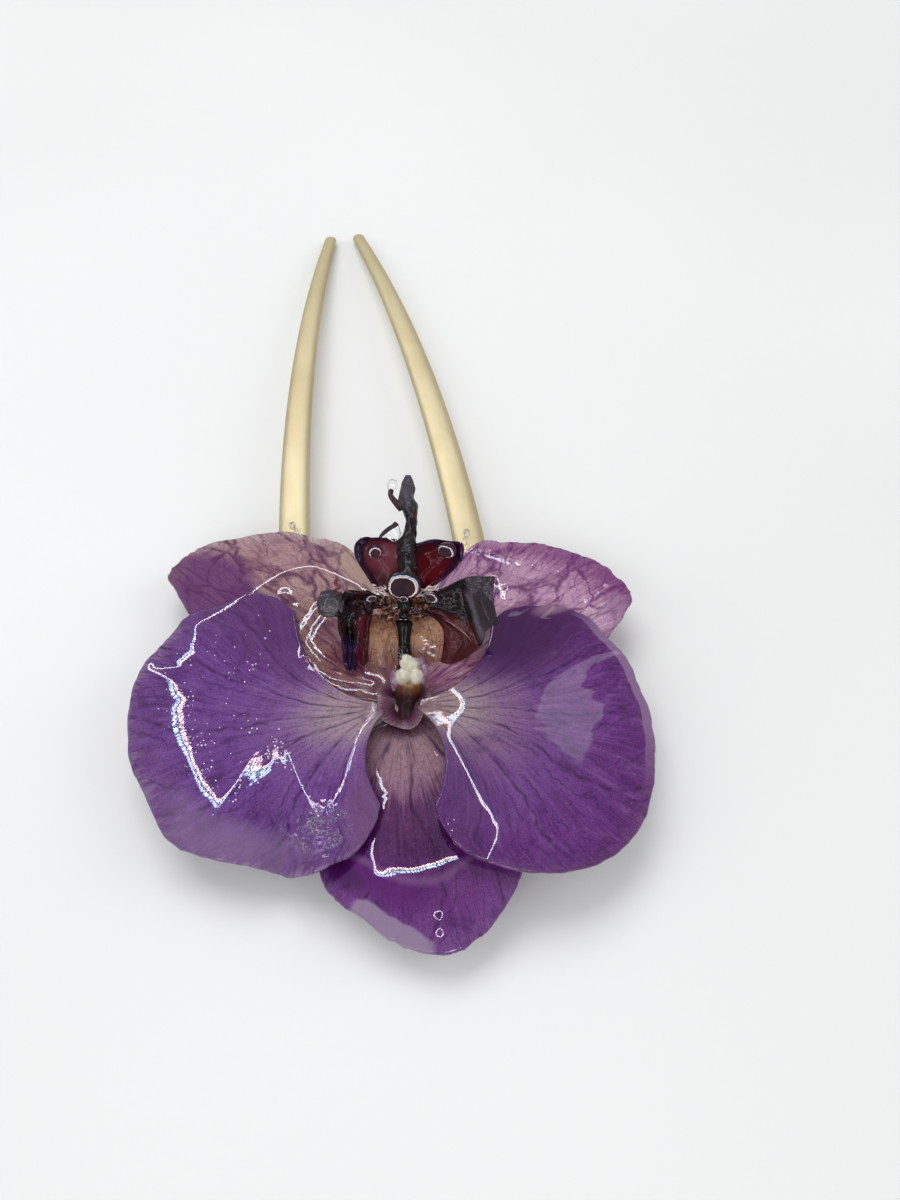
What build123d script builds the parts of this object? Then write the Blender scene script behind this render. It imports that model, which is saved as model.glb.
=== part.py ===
from build123d import *
from collections import namedtuple
from math import cos, radians, sin, tan
import os

# Orchid hair fork: a real moth orchid flower, kept in clear resin, glued face up on a
# two-prong U-shaped metal hair fork. Millimetres. +Y points along the prongs to their
# tips, +Z up out of the flower's face. The origin is the middle of the underside of
# the fork's flat crown strip, which lies on the table together with the prong tips.

# Driving sizes of the hair fork
fork_reach = 128.0          # crown's middle line to the prong tips
crown_radius = 16.0         # middle line of the U bend
prong_width = 5.8           # strip width from the crown to the start of the prongs
tip_width = 2.6
tip_half_gap = 3.2          # middle line of each tip from the centre line
fork_thickness = 2.4
tip_thickness = 1.7
crown_flat = 6.0            # flat underside runs this far past the crown's middle line
arch_rise = 4.5             # how far the prongs bow up off the table
fork_edge = 0.55            # rounding of the strip's long edges

# Driving sizes of the flower and what carries it
joint_gap = 0.15            # between pieces glued or grown together
flower_ahead = 5.0          # flower's centre in front of the crown's middle line
flower_turn = -9.2          # degrees, the flower sits a little turned on the fork
pad_radius = 8.0
pad_height = 2.5
pad_edge = 0.6
tepal_thickness = 1.3       # petal or sepal with its resin coat
rim_thickness = 0.7
tepal_gap = 0.3             # petals over the sepals' roots
hub_gap = 0.4               # between the column's root and the ring of tepal roots
tepal_lift = 3.0            # scale of all rises and droops of petals and sepals
petal_length = 42.0
lateral_sepal_length = 47.0
dorsal_sepal_length = 37.0
fold_height = 0.9           # the dorsal sepal's crosswise fold
fold_place = 0.70           # share of the dorsal sepal's reach
fold_width = 0.09

# Driving sizes of the column and its cap
column_length = 8.6
column_root_radius = 1.9
column_waist_radius = 2.2
column_hood_radius = 3.0
column_lean = 26.0          # degrees from upright towards the lip
column_back = 0.6           # the column's root behind the flower's centre
cap_radius = 1.45

# Driving sizes of the lip
lip_rise = 38.0             # degrees above the flower's face
lip_gap = 0.45              # between the claw's root and the column's front
lip_height = 0.35           # the lip's root above the petals' roots
claw_length = 10.3
claw_root_width = 1.5
claw_end_width = 3.6
claw_depth = 1.5
callus_length = 3.6
callus_width = 4.4
callus_height = 2.4
side_lobe_length = 13.4
side_lobe_lift = 2.6
mid_lobe_length = 12.5
mid_lobe_lift = 1.0
lobe_thickness = 1.0
lobe_rim_thickness = 0.6
lip_tip_length = 18.8
lip_tip_width = 2.2
tendril_radius = 0.4
hook_drop = 2.3
stub_length = 5.0

# Grids of the faceted sheets
tepal_columns = 22
tepal_rows = 9
lobe_columns = 14
lobe_rows = 6

# Heights stacked up from the table
pad_floor = fork_thickness + joint_gap
pad_top = pad_floor + pad_height
sepal_level = pad_top + joint_gap + tepal_thickness / 2
petal_level = sepal_level + tepal_thickness + tepal_gap
column_level = pad_top + joint_gap
lip_level = petal_level + lip_height

# Places along the flower's middle line
hub_radius = column_back + column_root_radius + hub_gap
claw_half = claw_depth / 2
claw_top = lip_level - column_level + claw_half * cos(radians(lip_rise))
column_front = (claw_top * tan(radians(column_lean))
                + column_waist_radius / cos(radians(column_lean)) - column_back)
lip_ahead = column_front + claw_half * sin(radians(lip_rise)) + lip_gap

# Places along the lip, from its root
callus_start = claw_length + joint_gap
side_lobe_start = callus_start + callus_length / 2
mid_lobe_start = callus_start + callus_length + joint_gap

# A tepal is a fan of rays. bearing: degrees round the flower, from +X to the tips.
# reach: share of the tepal's length. mid, rim: height there, shares of tepal_lift
# above the tepal's own root level.
Ray = namedtuple("Ray", "bearing reach mid rim")

petal_left_rays = [
    Ray(139, 0.66, 0.90, 1.00), Ray(143, 0.77, 0.90, 1.00), Ray(150, 0.82, 0.86, 0.84),
    Ray(157, 0.92, 0.80, 0.62), Ray(164, 0.96, 0.76, 0.42), Ray(172, 1.00, 0.74, 0.15),
    Ray(181, 1.02, 0.72, -0.18), Ray(192, 1.01, 0.70, -0.52), Ray(204, 0.99, 0.66, -0.90),
    Ray(214, 0.95, 0.62, -1.15), Ray(224, 0.87, 0.58, -1.28), Ray(235, 0.77, 0.54, -1.25),
    Ray(246, 0.70, 0.50, -0.98), Ray(253, 0.62, 0.48, -0.55), Ray(258, 0.55, 0.46, -0.10),
    Ray(262, 0.44, 0.44, 0.22)]
petal_right_rays = [
    Ray(47, 0.56, 0.90, 1.00), Ray(42, 0.66, 0.90, 1.00), Ray(36, 0.75, 0.86, 0.84),
    Ray(30, 0.82, 0.80, 0.66), Ray(23, 0.84, 0.76, 0.46), Ray(15, 0.88, 0.74, 0.20),
    Ray(6, 0.91, 0.72, -0.14), Ray(-4, 0.94, 0.70, -0.46), Ray(-14, 0.95, 0.66, -0.76),
    Ray(-25, 0.94, 0.62, -1.04), Ray(-36, 0.90, 0.58, -1.22), Ray(-47, 0.81, 0.54, -1.15),
    Ray(-56, 0.72, 0.50, -0.85), Ray(-63, 0.64, 0.48, -0.45), Ray(-68, 0.57, 0.46, -0.05),
    Ray(-71, 0.47, 0.44, 0.22)]
sepal_left_rays = [
    Ray(102, 0.50, 0.40, 0.50), Ray(111, 0.71, 0.46, 0.66), Ray(117, 0.77, 0.50, 0.76),
    Ray(124, 0.84, 0.54, 0.86), Ray(132, 0.91, 0.56, 0.95), Ray(140, 0.97, 0.56, 1.02),
    Ray(145, 0.99, 0.54, 1.06), Ray(149, 1.00, 0.52, 1.06), Ray(152, 0.94, 0.50, 0.84),
    Ray(157, 0.82, 0.46, 0.46), Ray(162, 0.72, 0.42, 0.32), Ray(168, 0.60, 0.38, 0.25)]
sepal_right_rays = [
    Ray(78, 0.48, 0.40, 0.50), Ray(70, 0.72, 0.46, 0.66), Ray(64, 0.76, 0.50, 0.76),
    Ray(57, 0.82, 0.54, 0.86), Ray(49, 0.87, 0.56, 0.95), Ray(41, 0.90, 0.56, 1.02),
    Ray(35, 0.91, 0.54, 1.06), Ray(30, 0.90, 0.52, 1.04), Ray(27, 0.87, 0.50, 0.84),
    Ray(23, 0.78, 0.46, 0.46), Ray(18, 0.69, 0.42, 0.32), Ray(12, 0.58, 0.38, 0.25)]
sepal_dorsal_rays = [
    Ray(240, 0.64, 0.05, -0.85), Ray(249, 0.76, 0.05, -1.22), Ray(256, 0.80, 0.04, -1.34),
    Ray(263, 0.84, 0.02, -1.42), Ray(270, 0.93, 0.00, -1.50), Ray(277, 0.99, 0.00, -1.56),
    Ray(284, 1.00, 0.00, -1.56), Ray(291, 0.97, 0.02, -1.46), Ray(298, 0.92, 0.04, -1.22),
    Ray(304, 0.88, 0.05, -0.95), Ray(311, 0.80, 0.05, -0.72), Ray(318, 0.66, 0.05, -0.50)]

# The lip's lobes are fans too, in the lip's own plane: bearing from its +X, reach as a
# share of the lobe's length, mid and rim as shares of the lobe's lift.
side_lobe_left_rays = [
    Ray(172, 0.86, 0.30, 0.70), Ray(181, 0.92, 0.40, 0.80), Ray(191, 0.86, 0.50, 0.90),
    Ray(202, 0.70, 0.62, 1.20), Ray(212, 0.66, 0.62, 1.10), Ray(222, 0.80, 0.50, 0.60),
    Ray(231, 0.92, 0.36, 0.25), Ray(238, 0.84, 0.30, 0.20)]
side_lobe_right_rays = [
    Ray(21, 1.05, 0.30, 1.00), Ray(14, 1.03, 0.36, 0.90), Ray(7, 1.02, 0.42, 0.80),
    Ray(0, 1.01, 0.46, 0.70), Ray(-7, 1.01, 0.50, 0.55), Ray(-14, 0.93, 0.52, 0.50),
    Ray(-20, 0.90, 0.50, 0.35), Ray(-27, 0.86, 0.46, 0.20)]
mid_lobe_rays = [
    Ray(156, 0.50, 0.10, 0.20), Ray(151, 0.66, 0.10, 0.30), Ray(144, 0.82, 0.15, 0.60),
    Ray(136, 0.90, 0.20, 0.70), Ray(129, 0.91, 0.20, 0.60), Ray(120, 0.84, 0.10, 0.20),
    Ray(108, 0.74, 0.00, 0.00), Ray(98, 0.68, -0.10, -0.20), Ray(88, 0.67, -0.10, -0.20),
    Ray(78, 0.70, -0.10, -0.20), Ray(67, 0.79, 0.00, 0.00), Ray(56, 0.90, 0.10, 0.30),
    Ray(45, 0.99, 0.20, 0.60), Ray(38, 0.96, 0.20, 0.50), Ray(32, 0.86, 0.15, 0.30),
    Ray(24, 0.64, 0.10, 0.20)]

Fan = namedtuple("Fan", "rays middle length root_share level lift thickness rim centre root")


def blended(rays, share):
    # Smooth curve through the rays' values at a share of the way across the fan.
    place = share * (len(rays) - 1)
    index = min(int(place), len(rays) - 2)
    part = place - index
    before = rays[max(index - 1, 0)]
    here, there = rays[index], rays[index + 1]
    after = rays[min(index + 2, len(rays) - 1)]
    values = []
    for a, b, c, d in zip(before, here, there, after):
        bend = (2 * b + (c - a) * part + (2 * a - 5 * b + 4 * c - d) * part ** 2
                + (3 * b - a - 3 * c + d) * part ** 3)
        values.append(bend / 2)
    return Ray(*values)


def fan_point(fan, across, out, side, fold=0.0):
    # One point of a fan: across and out run from 0 to 1, side is +1 on the face, -1 below.
    ray = blended(fan.rays, across)
    opened = min(out / 0.85, 1.0)
    spread = fan.root_share + (1 - fan.root_share) * opened
    bearing = radians(fan.middle + (ray.bearing - fan.middle) * spread)
    reach = fan.root + out * (ray.reach * fan.length - fan.root)
    rise = ray.mid * 4 * out * (1 - out) + ray.rim * out * (2 * out - 1)
    crease = fold * max(0.0, 1 - abs(out - fold_place) / fold_width)
    half = (fan.thickness + (fan.rim - fan.thickness) * out ** 4) / 2
    height = fan.level + fan.lift * rise + crease + side * half
    return (fan.centre[0] + reach * cos(bearing), fan.centre[1] + reach * sin(bearing), height)


def faceted_sheet(point, columns, rows):
    # A closed solid of triangles between the upper and lower sides of a sheet.
    spots = {}
    for side in (1, -1):
        for i in range(columns + 1):
            for j in range(rows + 1):
                spots[i, j, side] = Vector(*point(i / columns, j / rows, side))
    corners = []
    for side in (1, -1):
        for i in range(columns):
            for j in range(rows):
                cell = [(i, j, side), (i + 1, j, side), (i + 1, j + 1, side), (i, j + 1, side)]
                corners.append(cell)
    for i in range(columns):
        for j in (0, rows):
            corners.append([(i, j, 1), (i + 1, j, 1), (i + 1, j, -1), (i, j, -1)])
    for j in range(rows):
        for i in (0, columns):
            corners.append([(i, j, 1), (i, j + 1, 1), (i, j + 1, -1), (i, j, -1)])
    faces = []
    for a, b, c, d in corners:
        faces.append(Face(Wire.make_polygon([spots[a], spots[b], spots[c]])))
        faces.append(Face(Wire.make_polygon([spots[a], spots[c], spots[d]])))
    return Solid(Shell(faces))


def hair_fork():
    # Plan outline of the U strip, cut to a side profile that arches between crown and tips.
    half = prong_width / 2
    tip_round = tip_width / 2
    tip_start = fork_reach - tip_round
    outer = crown_radius + half
    inner = crown_radius - half
    outer_tip = tip_half_gap + tip_round
    inner_tip = tip_half_gap - tip_round
    outline = []
    for hand in (1, -1):
        outline.append(TangentArc((hand * outer, crown_radius), (hand * outer_tip, tip_start),
                                  tangent=(0, 1)))
        outline.append(TangentArc((hand * inner, crown_radius), (hand * inner_tip, tip_start),
                                  tangent=(0, 1)))
        outline.append(ThreePointArc((hand * outer_tip, tip_start),
                                     (hand * tip_half_gap, fork_reach),
                                     (hand * inner_tip, tip_start)))
    for radius in (outer, inner):
        outline.append(ThreePointArc((radius, crown_radius), (0, crown_radius - radius),
                                     (-radius, crown_radius)))
    plan = make_face(Wire.combine(outline)[0])
    blank = extrude(plan, fork_thickness + 2 * arch_rise, both=True)

    back = -2 * half
    middle = (crown_flat + fork_reach) / 2
    mid_thickness = (fork_thickness + tip_thickness) / 2
    front = fork_reach + 1.0
    profile = [
        Line((back, 0), (crown_flat, 0)),
        ThreePointArc((crown_flat, 0), (middle, arch_rise), (front, 0)),
        Line((front, 0), (front, tip_thickness)),
        ThreePointArc((front, tip_thickness), (middle, arch_rise + mid_thickness),
                      (crown_flat, fork_thickness)),
        Line((crown_flat, fork_thickness), (back, fork_thickness)),
        Line((back, fork_thickness), (back, 0))]
    side_plane = Plane(origin=(0, 0, 0), x_dir=(0, 1, 0), z_dir=(1, 0, 0))
    side = side_plane * make_face(Wire.combine(profile)[0])
    slab = extrude(side, 2 * outer, both=True)
    fork = (blank & slab).solid()
    long_edges = fork.edges().filter_by(lambda edge: edge.length > 2 * fork_thickness)
    return fillet(long_edges, fork_edge).solid()


def resin_pad():
    disc = Pos(0, flower_ahead - 1.0, pad_floor) * Cylinder(
        pad_radius, pad_height, align=(Align.CENTER, Align.CENTER, Align.MIN))
    return fillet(disc.edges(), pad_edge).solid()


def tepal(rays, length, root_share, level, middle):
    return Fan(rays, middle, length, root_share, level, tepal_lift, tepal_thickness,
               rim_thickness, (0.0, 0.0), hub_radius)


fork_to_flower = Location((0, flower_ahead, 0), (0, 0, flower_turn))
lip_plane = Plane(origin=(0, lip_ahead, lip_level), x_dir=(1, 0, 0),
                  z_dir=(0, -sin(radians(lip_rise)), cos(radians(lip_rise))))

tepals = {
    "petal_left": tepal(petal_left_rays, petal_length, 0.25, petal_level, 200.0),
    "petal_right": tepal(petal_right_rays, petal_length, 0.25, petal_level, -12.0),
    "sepal_left": tepal(sepal_left_rays, lateral_sepal_length, 1.25, sepal_level, 138.0),
    "sepal_right": tepal(sepal_right_rays, lateral_sepal_length, 1.25, sepal_level, 42.0),
    "sepal_dorsal": tepal(sepal_dorsal_rays, dorsal_sepal_length, 1.35, sepal_level, 279.0)}


def column():
    # Stubby club that leans over the lip, widest at the hood round its cap.
    lean = Plane(origin=(0, -column_back, column_level), x_dir=(1, 0, 0),
                 z_dir=(0, sin(radians(column_lean)), cos(radians(column_lean))))
    root = Plane(origin=(0, -column_back, column_level)) * Circle(column_root_radius)
    waist = lean.offset(0.45 * column_length) * Circle(column_waist_radius)
    hood = lean.offset(0.85 * column_length) * Circle(column_hood_radius)
    crest = lean.offset(column_length) * Circle(0.8 * column_hood_radius)
    return loft([root, waist, hood, crest]).solid(), lean


def anther_cap(lean):
    # Two round lobes side by side with a third behind them, resting on the column's end.
    # Columns: place across, place forward and radius, as shares of the lobes' radius.
    lobes = [(-0.62, -0.45, 1.00), (0.62, -0.45, 1.00), (0.00, 0.75, 0.95)]
    balls = []
    for across, forward, size in lobes:
        place = Pos(across * cap_radius, forward * cap_radius, 0.0)
        balls.append(place * Sphere(size * cap_radius))
    room = 4 * cap_radius
    above = Box(room, room, room, align=(Align.CENTER, Align.CENTER, Align.MIN))
    cap = (balls[0] + balls[1] + balls[2]) & above
    return (lean.offset(column_length + joint_gap) * cap).solid()


def along_lip(distance):
    # Plane across the lip at a distance from its root.
    return Plane.XZ.offset(-distance)


def lip_claw():
    root = along_lip(0) * Ellipse(claw_root_width / 2, claw_half)
    end = along_lip(claw_length) * Ellipse(claw_end_width / 2, claw_half)
    return loft([root, end]).solid()


def lip_callus():
    # Columns: place along, half width and half height, as shares of the callus's sizes.
    rings = [(0.0, 0.42, 0.40), (0.5, 0.50, 0.50), (1.0, 0.30, 0.32)]
    sections = []
    for along, wide, high in rings:
        ring = Ellipse(wide * callus_width, high * callus_height)
        sections.append(along_lip(callus_start + along * callus_length) * ring)
    return loft(sections).solid()


def lip_lobe(rays, middle, length, lift, centre, root, root_share):
    fan = Fan(rays, middle, length, root_share, 0.0, lift, lobe_thickness,
              lobe_rim_thickness, centre, root)
    return faceted_sheet(lambda across, out, side: fan_point(fan, across, out, side),
                         lobe_columns, lobe_rows)


tip_half = lip_tip_width / 2
tip_rise = lobe_thickness / 2 + joint_gap + tip_half
tip_swell = 1.35            # half width at the swollen end, as a share of tip_half
tip_swell_place = 0.78      # share of the tip's length


def lip_tip():
    # Keel that runs up the middle of the mid lobe and on past it to a blunt, swollen end.
    # Columns: place along as a share of the tip's length, half width as a share of tip_half.
    rings = [(0.00, 0.90), (0.40, 0.95), (0.62, 0.80), (tip_swell_place, tip_swell),
             (0.92, 0.95), (1.00, 0.55)]
    sections = []
    for along, wide in rings:
        ring = Pos(0, tip_rise) * Ellipse(wide * tip_half, 0.9 * tip_half)
        sections.append(along_lip(mid_lobe_start + along * lip_tip_length) * ring)
    return loft(sections).solid()


def lip_tendril():
    # Hooked tendril at the swollen end: a short straight root that bends up along the tip.
    start = (-tip_swell * tip_half - 2 * joint_gap,
             mid_lobe_start + tip_swell_place * lip_tip_length)
    corner = (start[0] - 0.55 * hook_drop, start[1] + 0.35 * hook_drop)
    finish = (corner[0] + 0.05 * hook_drop, corner[1] + 0.75 * hook_drop)
    path = FilletPolyline(start, corner, finish, radius=1.2 * tendril_radius)
    ring = Plane(origin=(start[0], start[1], 0), z_dir=path % 0) * Circle(tendril_radius)
    return Pos(0, 0, tip_rise) * sweep(ring, path=path).solid()


def lip_tendril_stub():
    # Broken piece of the other tendril, held beside the keel by a film of resin.
    near = Vector(-0.9 * tip_half - joint_gap - tendril_radius,
                  mid_lobe_start + 0.54 * lip_tip_length, tip_rise)
    run = Vector(-0.8, -0.6, 0)
    return extrude(Plane(origin=near, z_dir=run) * Circle(tendril_radius),
                   stub_length).solid()


lobe_root = 1.3
side_lobe_seat = callus_width / 2 + joint_gap
left_lobe_out = side_lobe_seat - lobe_root * cos(radians(45))
right_lobe_out = side_lobe_seat - lobe_root * cos(radians(25))
column_solid, column_axis = column()

lip_pieces = {
    "lip_claw": lip_claw(),
    "lip_callus": lip_callus(),
    "lip_side_lobe_left": lip_lobe(side_lobe_left_rays, 205.0, side_lobe_length, side_lobe_lift,
                                   (-left_lobe_out, side_lobe_start), lobe_root, 0.6),
    "lip_side_lobe_right": lip_lobe(side_lobe_right_rays, -4.0, side_lobe_length,
                                    side_lobe_lift, (right_lobe_out, side_lobe_start),
                                    lobe_root, 1.0),
    "lip_mid_lobe": lip_lobe(mid_lobe_rays, 90.0, mid_lobe_length, mid_lobe_lift,
                             (0.0, mid_lobe_start - 0.3 * lobe_root), lobe_root, 1.1),
    "lip_tip": lip_tip(),
    "lip_tendril": lip_tendril(),
    "lip_tendril_stub": lip_tendril_stub()}

pieces = {"hair_fork": hair_fork(), "resin_pad": resin_pad()}
for name, fan in tepals.items():
    crease = fold_height if name == "sepal_dorsal" else 0.0
    sheet = faceted_sheet(
        lambda across, out, side: fan_point(fan, across, out, side, crease),
        tepal_columns, tepal_rows)
    pieces[name] = fork_to_flower * sheet
pieces["column"] = fork_to_flower * column_solid
pieces["anther_cap"] = fork_to_flower * anther_cap(column_axis)
for name, piece in lip_pieces.items():
    pieces[name] = fork_to_flower * (lip_plane.location * piece)

os.makedirs("parts", exist_ok=True)
for name, piece in pieces.items():
    export_step(piece, f"parts/{name}.step")
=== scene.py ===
import bmesh
import bpy
import random
from collections import namedtuple
from functools import cached_property
from math import asin, atan2, copysign, cos, degrees, exp, hypot, pi, radians, sin, sqrt
from mathutils import Matrix, Vector, noise


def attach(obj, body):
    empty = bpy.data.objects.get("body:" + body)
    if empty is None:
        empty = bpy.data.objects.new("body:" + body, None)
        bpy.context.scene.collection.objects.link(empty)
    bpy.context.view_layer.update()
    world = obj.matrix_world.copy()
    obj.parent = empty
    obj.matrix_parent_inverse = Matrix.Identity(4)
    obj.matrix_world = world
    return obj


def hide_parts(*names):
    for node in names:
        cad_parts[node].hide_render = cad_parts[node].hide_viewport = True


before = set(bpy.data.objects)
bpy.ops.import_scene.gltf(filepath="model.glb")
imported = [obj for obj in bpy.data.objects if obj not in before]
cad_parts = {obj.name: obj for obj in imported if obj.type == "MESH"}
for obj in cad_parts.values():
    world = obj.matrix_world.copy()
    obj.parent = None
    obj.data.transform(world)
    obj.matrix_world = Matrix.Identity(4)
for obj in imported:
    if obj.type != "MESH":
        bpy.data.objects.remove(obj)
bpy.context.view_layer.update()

# The hairpin lies on a plain pale table top. A ring of small bright lamps hangs over the
# far side, where the photographer's lamp stood, and soft boxes fill in from the near side.
# The maths of all the finishes below is written with the two classes in this section.
scene = bpy.context.scene
scene.view_settings.view_transform = "Standard"
mm = Matrix.Scale(0.001, 4)


class Level:
    # A value that changes over a surface. Sums written on it become Math nodes.
    def __init__(self, finish, socket):
        self.finish = finish
        self.socket = socket

    def maths(self, operation, *values):
        sockets = dict(enumerate(values))
        return self.finish.node("Math", {"operation": operation}, sockets)

    def __add__(self, other):
        return self.maths("ADD", self, other)

    def __sub__(self, other):
        return self.maths("SUBTRACT", self, other)

    def __rsub__(self, other):
        return self.maths("SUBTRACT", other, self)

    def __mul__(self, other):
        return self.maths("MULTIPLY", self, other)

    def __truediv__(self, other):
        return self.maths("DIVIDE", self, other)

    __radd__ = __add__
    __rmul__ = __mul__

    def size(self):
        return self.maths("ABSOLUTE", self)

    def fold(self):
        # Distance to the nearest whole number.
        return self.maths("PINGPONG", self, 0.5)

    def highest(self, other):
        return self.maths("MAXIMUM", self, other)

    def rising(self, low, high):
        # 0 below low, 1 above high and smooth between; with low above high it falls.
        settings = {"interpolation_type": "SMOOTHSTEP"}
        if low < high:
            return self.finish.node("MapRange", settings,
                                    {"Value": self, "From Min": low, "From Max": high})
        return 1 - self.rising(high, low)


class Finish:
    # One material. node() makes any node from its type, settings and sockets.
    def __init__(self, name, **sockets):
        self.material = bpy.data.materials.new(name)
        self.material.use_nodes = True
        self.tree = self.material.node_tree
        self.shader = self.tree.nodes["Principled BSDF"]
        for key, value in sockets.items():
            self.feed(self.shader.inputs[key.replace("_", " ")], value)

    def feed(self, socket, value):
        if isinstance(value, Level):
            self.tree.links.new(value.socket, socket)
        elif isinstance(value, tuple) and len(socket.default_value) == 4:
            socket.default_value = (*value[:3], 1.0)
        else:
            socket.default_value = value

    def node(self, kind, settings=None, sockets=None, output=0):
        node = self.tree.nodes.new("ShaderNode" + kind)
        for key, value in (settings or {}).items():
            if key == "stops":
                ramp = node.color_ramp
                for place, *colour in value[1:-1]:
                    ramp.elements.new(place)
                for element, (place, *colour) in zip(ramp.elements, value):
                    element.position = place
                    element.color = (*colour, 1.0)
            else:
                setattr(node, key, value)
        for key, value in (sockets or {}).items():
            self.feed(node.inputs[key], value)
        return Level(self, node.outputs[output])

    @cached_property
    def place(self):
        return self.node("TexCoord", output="Object")

    @cached_property
    def uv(self):
        return self.node("TexCoord", output="UV")

    @cached_property
    def across(self):
        return self.part(self.uv, 0)

    @cached_property
    def out(self):
        return self.part(self.uv, 1)

    def part(self, vector, axis):
        return self.node("SeparateXYZ", {}, {0: vector}, axis)

    def stretched(self, vector, x, y, z):
        return self.node("VectorMath", {"operation": "MULTIPLY"},
                         {0: vector, 1: (x, y, z)})

    def shifted(self, vector, x, y, z):
        offset = self.node("CombineXYZ", {}, {0: x, 1: y, 2: z})
        return self.node("VectorMath", {"operation": "ADD"}, {0: vector, 1: offset})

    def cloud(self, scale, detail=2.0, roughness=0.5, twist=0.0, vector=None):
        return self.node("TexNoise", {},
                         {"Vector": vector or self.place, "Scale": scale, "Detail": detail,
                          "Roughness": roughness, "Distortion": twist})

    def streaks(self, x, y, detail=2.0, roughness=0.5):
        # A cloud counted along the piece's own two directions.
        return self.cloud(1.0, detail, roughness, 0.0, self.stretched(self.uv, x, y, 1))

    def cells(self, scale, feature="F1", vector=None):
        return self.node("TexVoronoi", {"feature": feature},
                         {"Vector": vector or self.place, "Scale": scale})

    def shades(self, level, stops):
        return self.node("ValToRGB", {"stops": stops}, {0: level})

    def tinted(self, colour, *layers):
        # Colours laid over the first; each layer is the share that shows and its colour.
        for share, tint in layers:
            colour = self.node("Mix", {"data_type": "RGBA"},
                               {0: share, 6: colour, 7: tint}, 2)
        return colour

    def paint(self, colour=None, roughness=None, relief=None, height=0.0001):
        if relief is not None:
            relief = self.node("Bump", {}, {"Height": relief, "Distance": height})
        for name, value in (("Base Color", colour), ("Roughness", roughness), ("Normal", relief)):
            if value is not None:
                self.feed(self.shader.inputs[name], value)


def mottled(name, scale, stops, detail=2.0, roughness=0.5, height=None, **sockets):
    # A finish in soft blotches of a few colours, raised where a height is given.
    finish = Finish(name, **sockets)
    cloud = finish.cloud(scale, detail, roughness)
    finish.paint(finish.shades(cloud, stops), None, cloud if height else None, height)
    return finish


def make_piece(name, bm, finish, place=Matrix(), rounding=0, closed=True):
    # Mesh in millimetres, put in its place and made a smooth object at the origin.
    bmesh.ops.transform(bm, matrix=mm @ place, verts=bm.verts)
    if closed:
        bmesh.ops.recalc_face_normals(bm, faces=bm.faces)
    mesh = bpy.data.meshes.new(name)
    bm.to_mesh(mesh)
    bm.free()
    mesh.shade_smooth()
    mesh.materials.append(finish.material)
    piece = bpy.data.objects.new(name, mesh)
    scene.collection.objects.link(piece)
    if rounding:
        smooth = piece.modifiers.new("Rounding", "SUBSURF")
        smooth.levels = rounding
        smooth.render_levels = rounding
    return piece


table_finish = mottled("pale_table", 9.0, [(0.3, 0.8, 0.8, 0.79), (0.7, 0.84, 0.84, 0.83)], 1.0,
                       Roughness=0.6)
bm = bmesh.new()
bmesh.ops.create_grid(bm, x_segments=1, y_segments=1, size=1500.0)
table = make_piece("table", bm, table_finish, Matrix.Translation((0, 300, -0.1)))

camera_spot = Vector((-1.7, -64.5, 150.5))
camera_data = bpy.data.cameras.new("camera")
camera_data.lens = 30.0
camera_data.sensor_width = 36.0
camera_data.clip_start = 0.01
camera = bpy.data.objects.new("camera", camera_data)
azimuth, drop = radians(7.7), radians(58.0)
ahead = Vector((sin(azimuth) * cos(drop), cos(azimuth) * cos(drop), -sin(drop)))
sideways = Vector((cos(azimuth), -sin(azimuth), 0.0))
turn = Matrix((sideways, sideways.cross(ahead), -ahead)).transposed()
camera.matrix_world = Matrix.Translation(camera_spot / 1000) @ turn.to_4x4()
scene.collection.objects.link(camera)
scene.camera = camera

world = bpy.data.worlds.new("soft_room")
world.use_nodes = True
room = world.node_tree.nodes["Background"].inputs
room["Color"].default_value = (0.95, 0.97, 1.0, 1.0)
room["Strength"].default_value = 0.46
scene.world = world


def soft_box(name, place, width, depth, power, aim=(0, 0.03, 0), mirrored=False):
    data = bpy.data.lights.new(name, "AREA")
    data.shape = "RECTANGLE"
    data.size = width
    data.size_y = depth
    data.energy = power
    lamp = bpy.data.objects.new(name, data)
    lamp.location = place
    lamp.rotation_euler = (Vector(aim) - Vector(place)).to_track_quat("-Z", "Y").to_euler()
    lamp.visible_glossy = mirrored
    scene.collection.objects.link(lamp)


soft_box("near_box", (-0.25, -0.75, 0.75), 0.9, 0.6, 3.0)
soft_box("left_box", (-0.95, 0.0, 0.55), 0.5, 0.7, 1.7)
soft_box("right_box", (0.95, 0.05, 0.55), 0.5, 0.7, 2.6)
soft_box("far_box", (-0.15, 0.5, 0.85), 0.8, 0.5, 4.0)
soft_box("window_box", (0.225, 0.33, 0.574), 0.046, 0.056, 0.014, (0.026, 0, 0.01), True)

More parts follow.
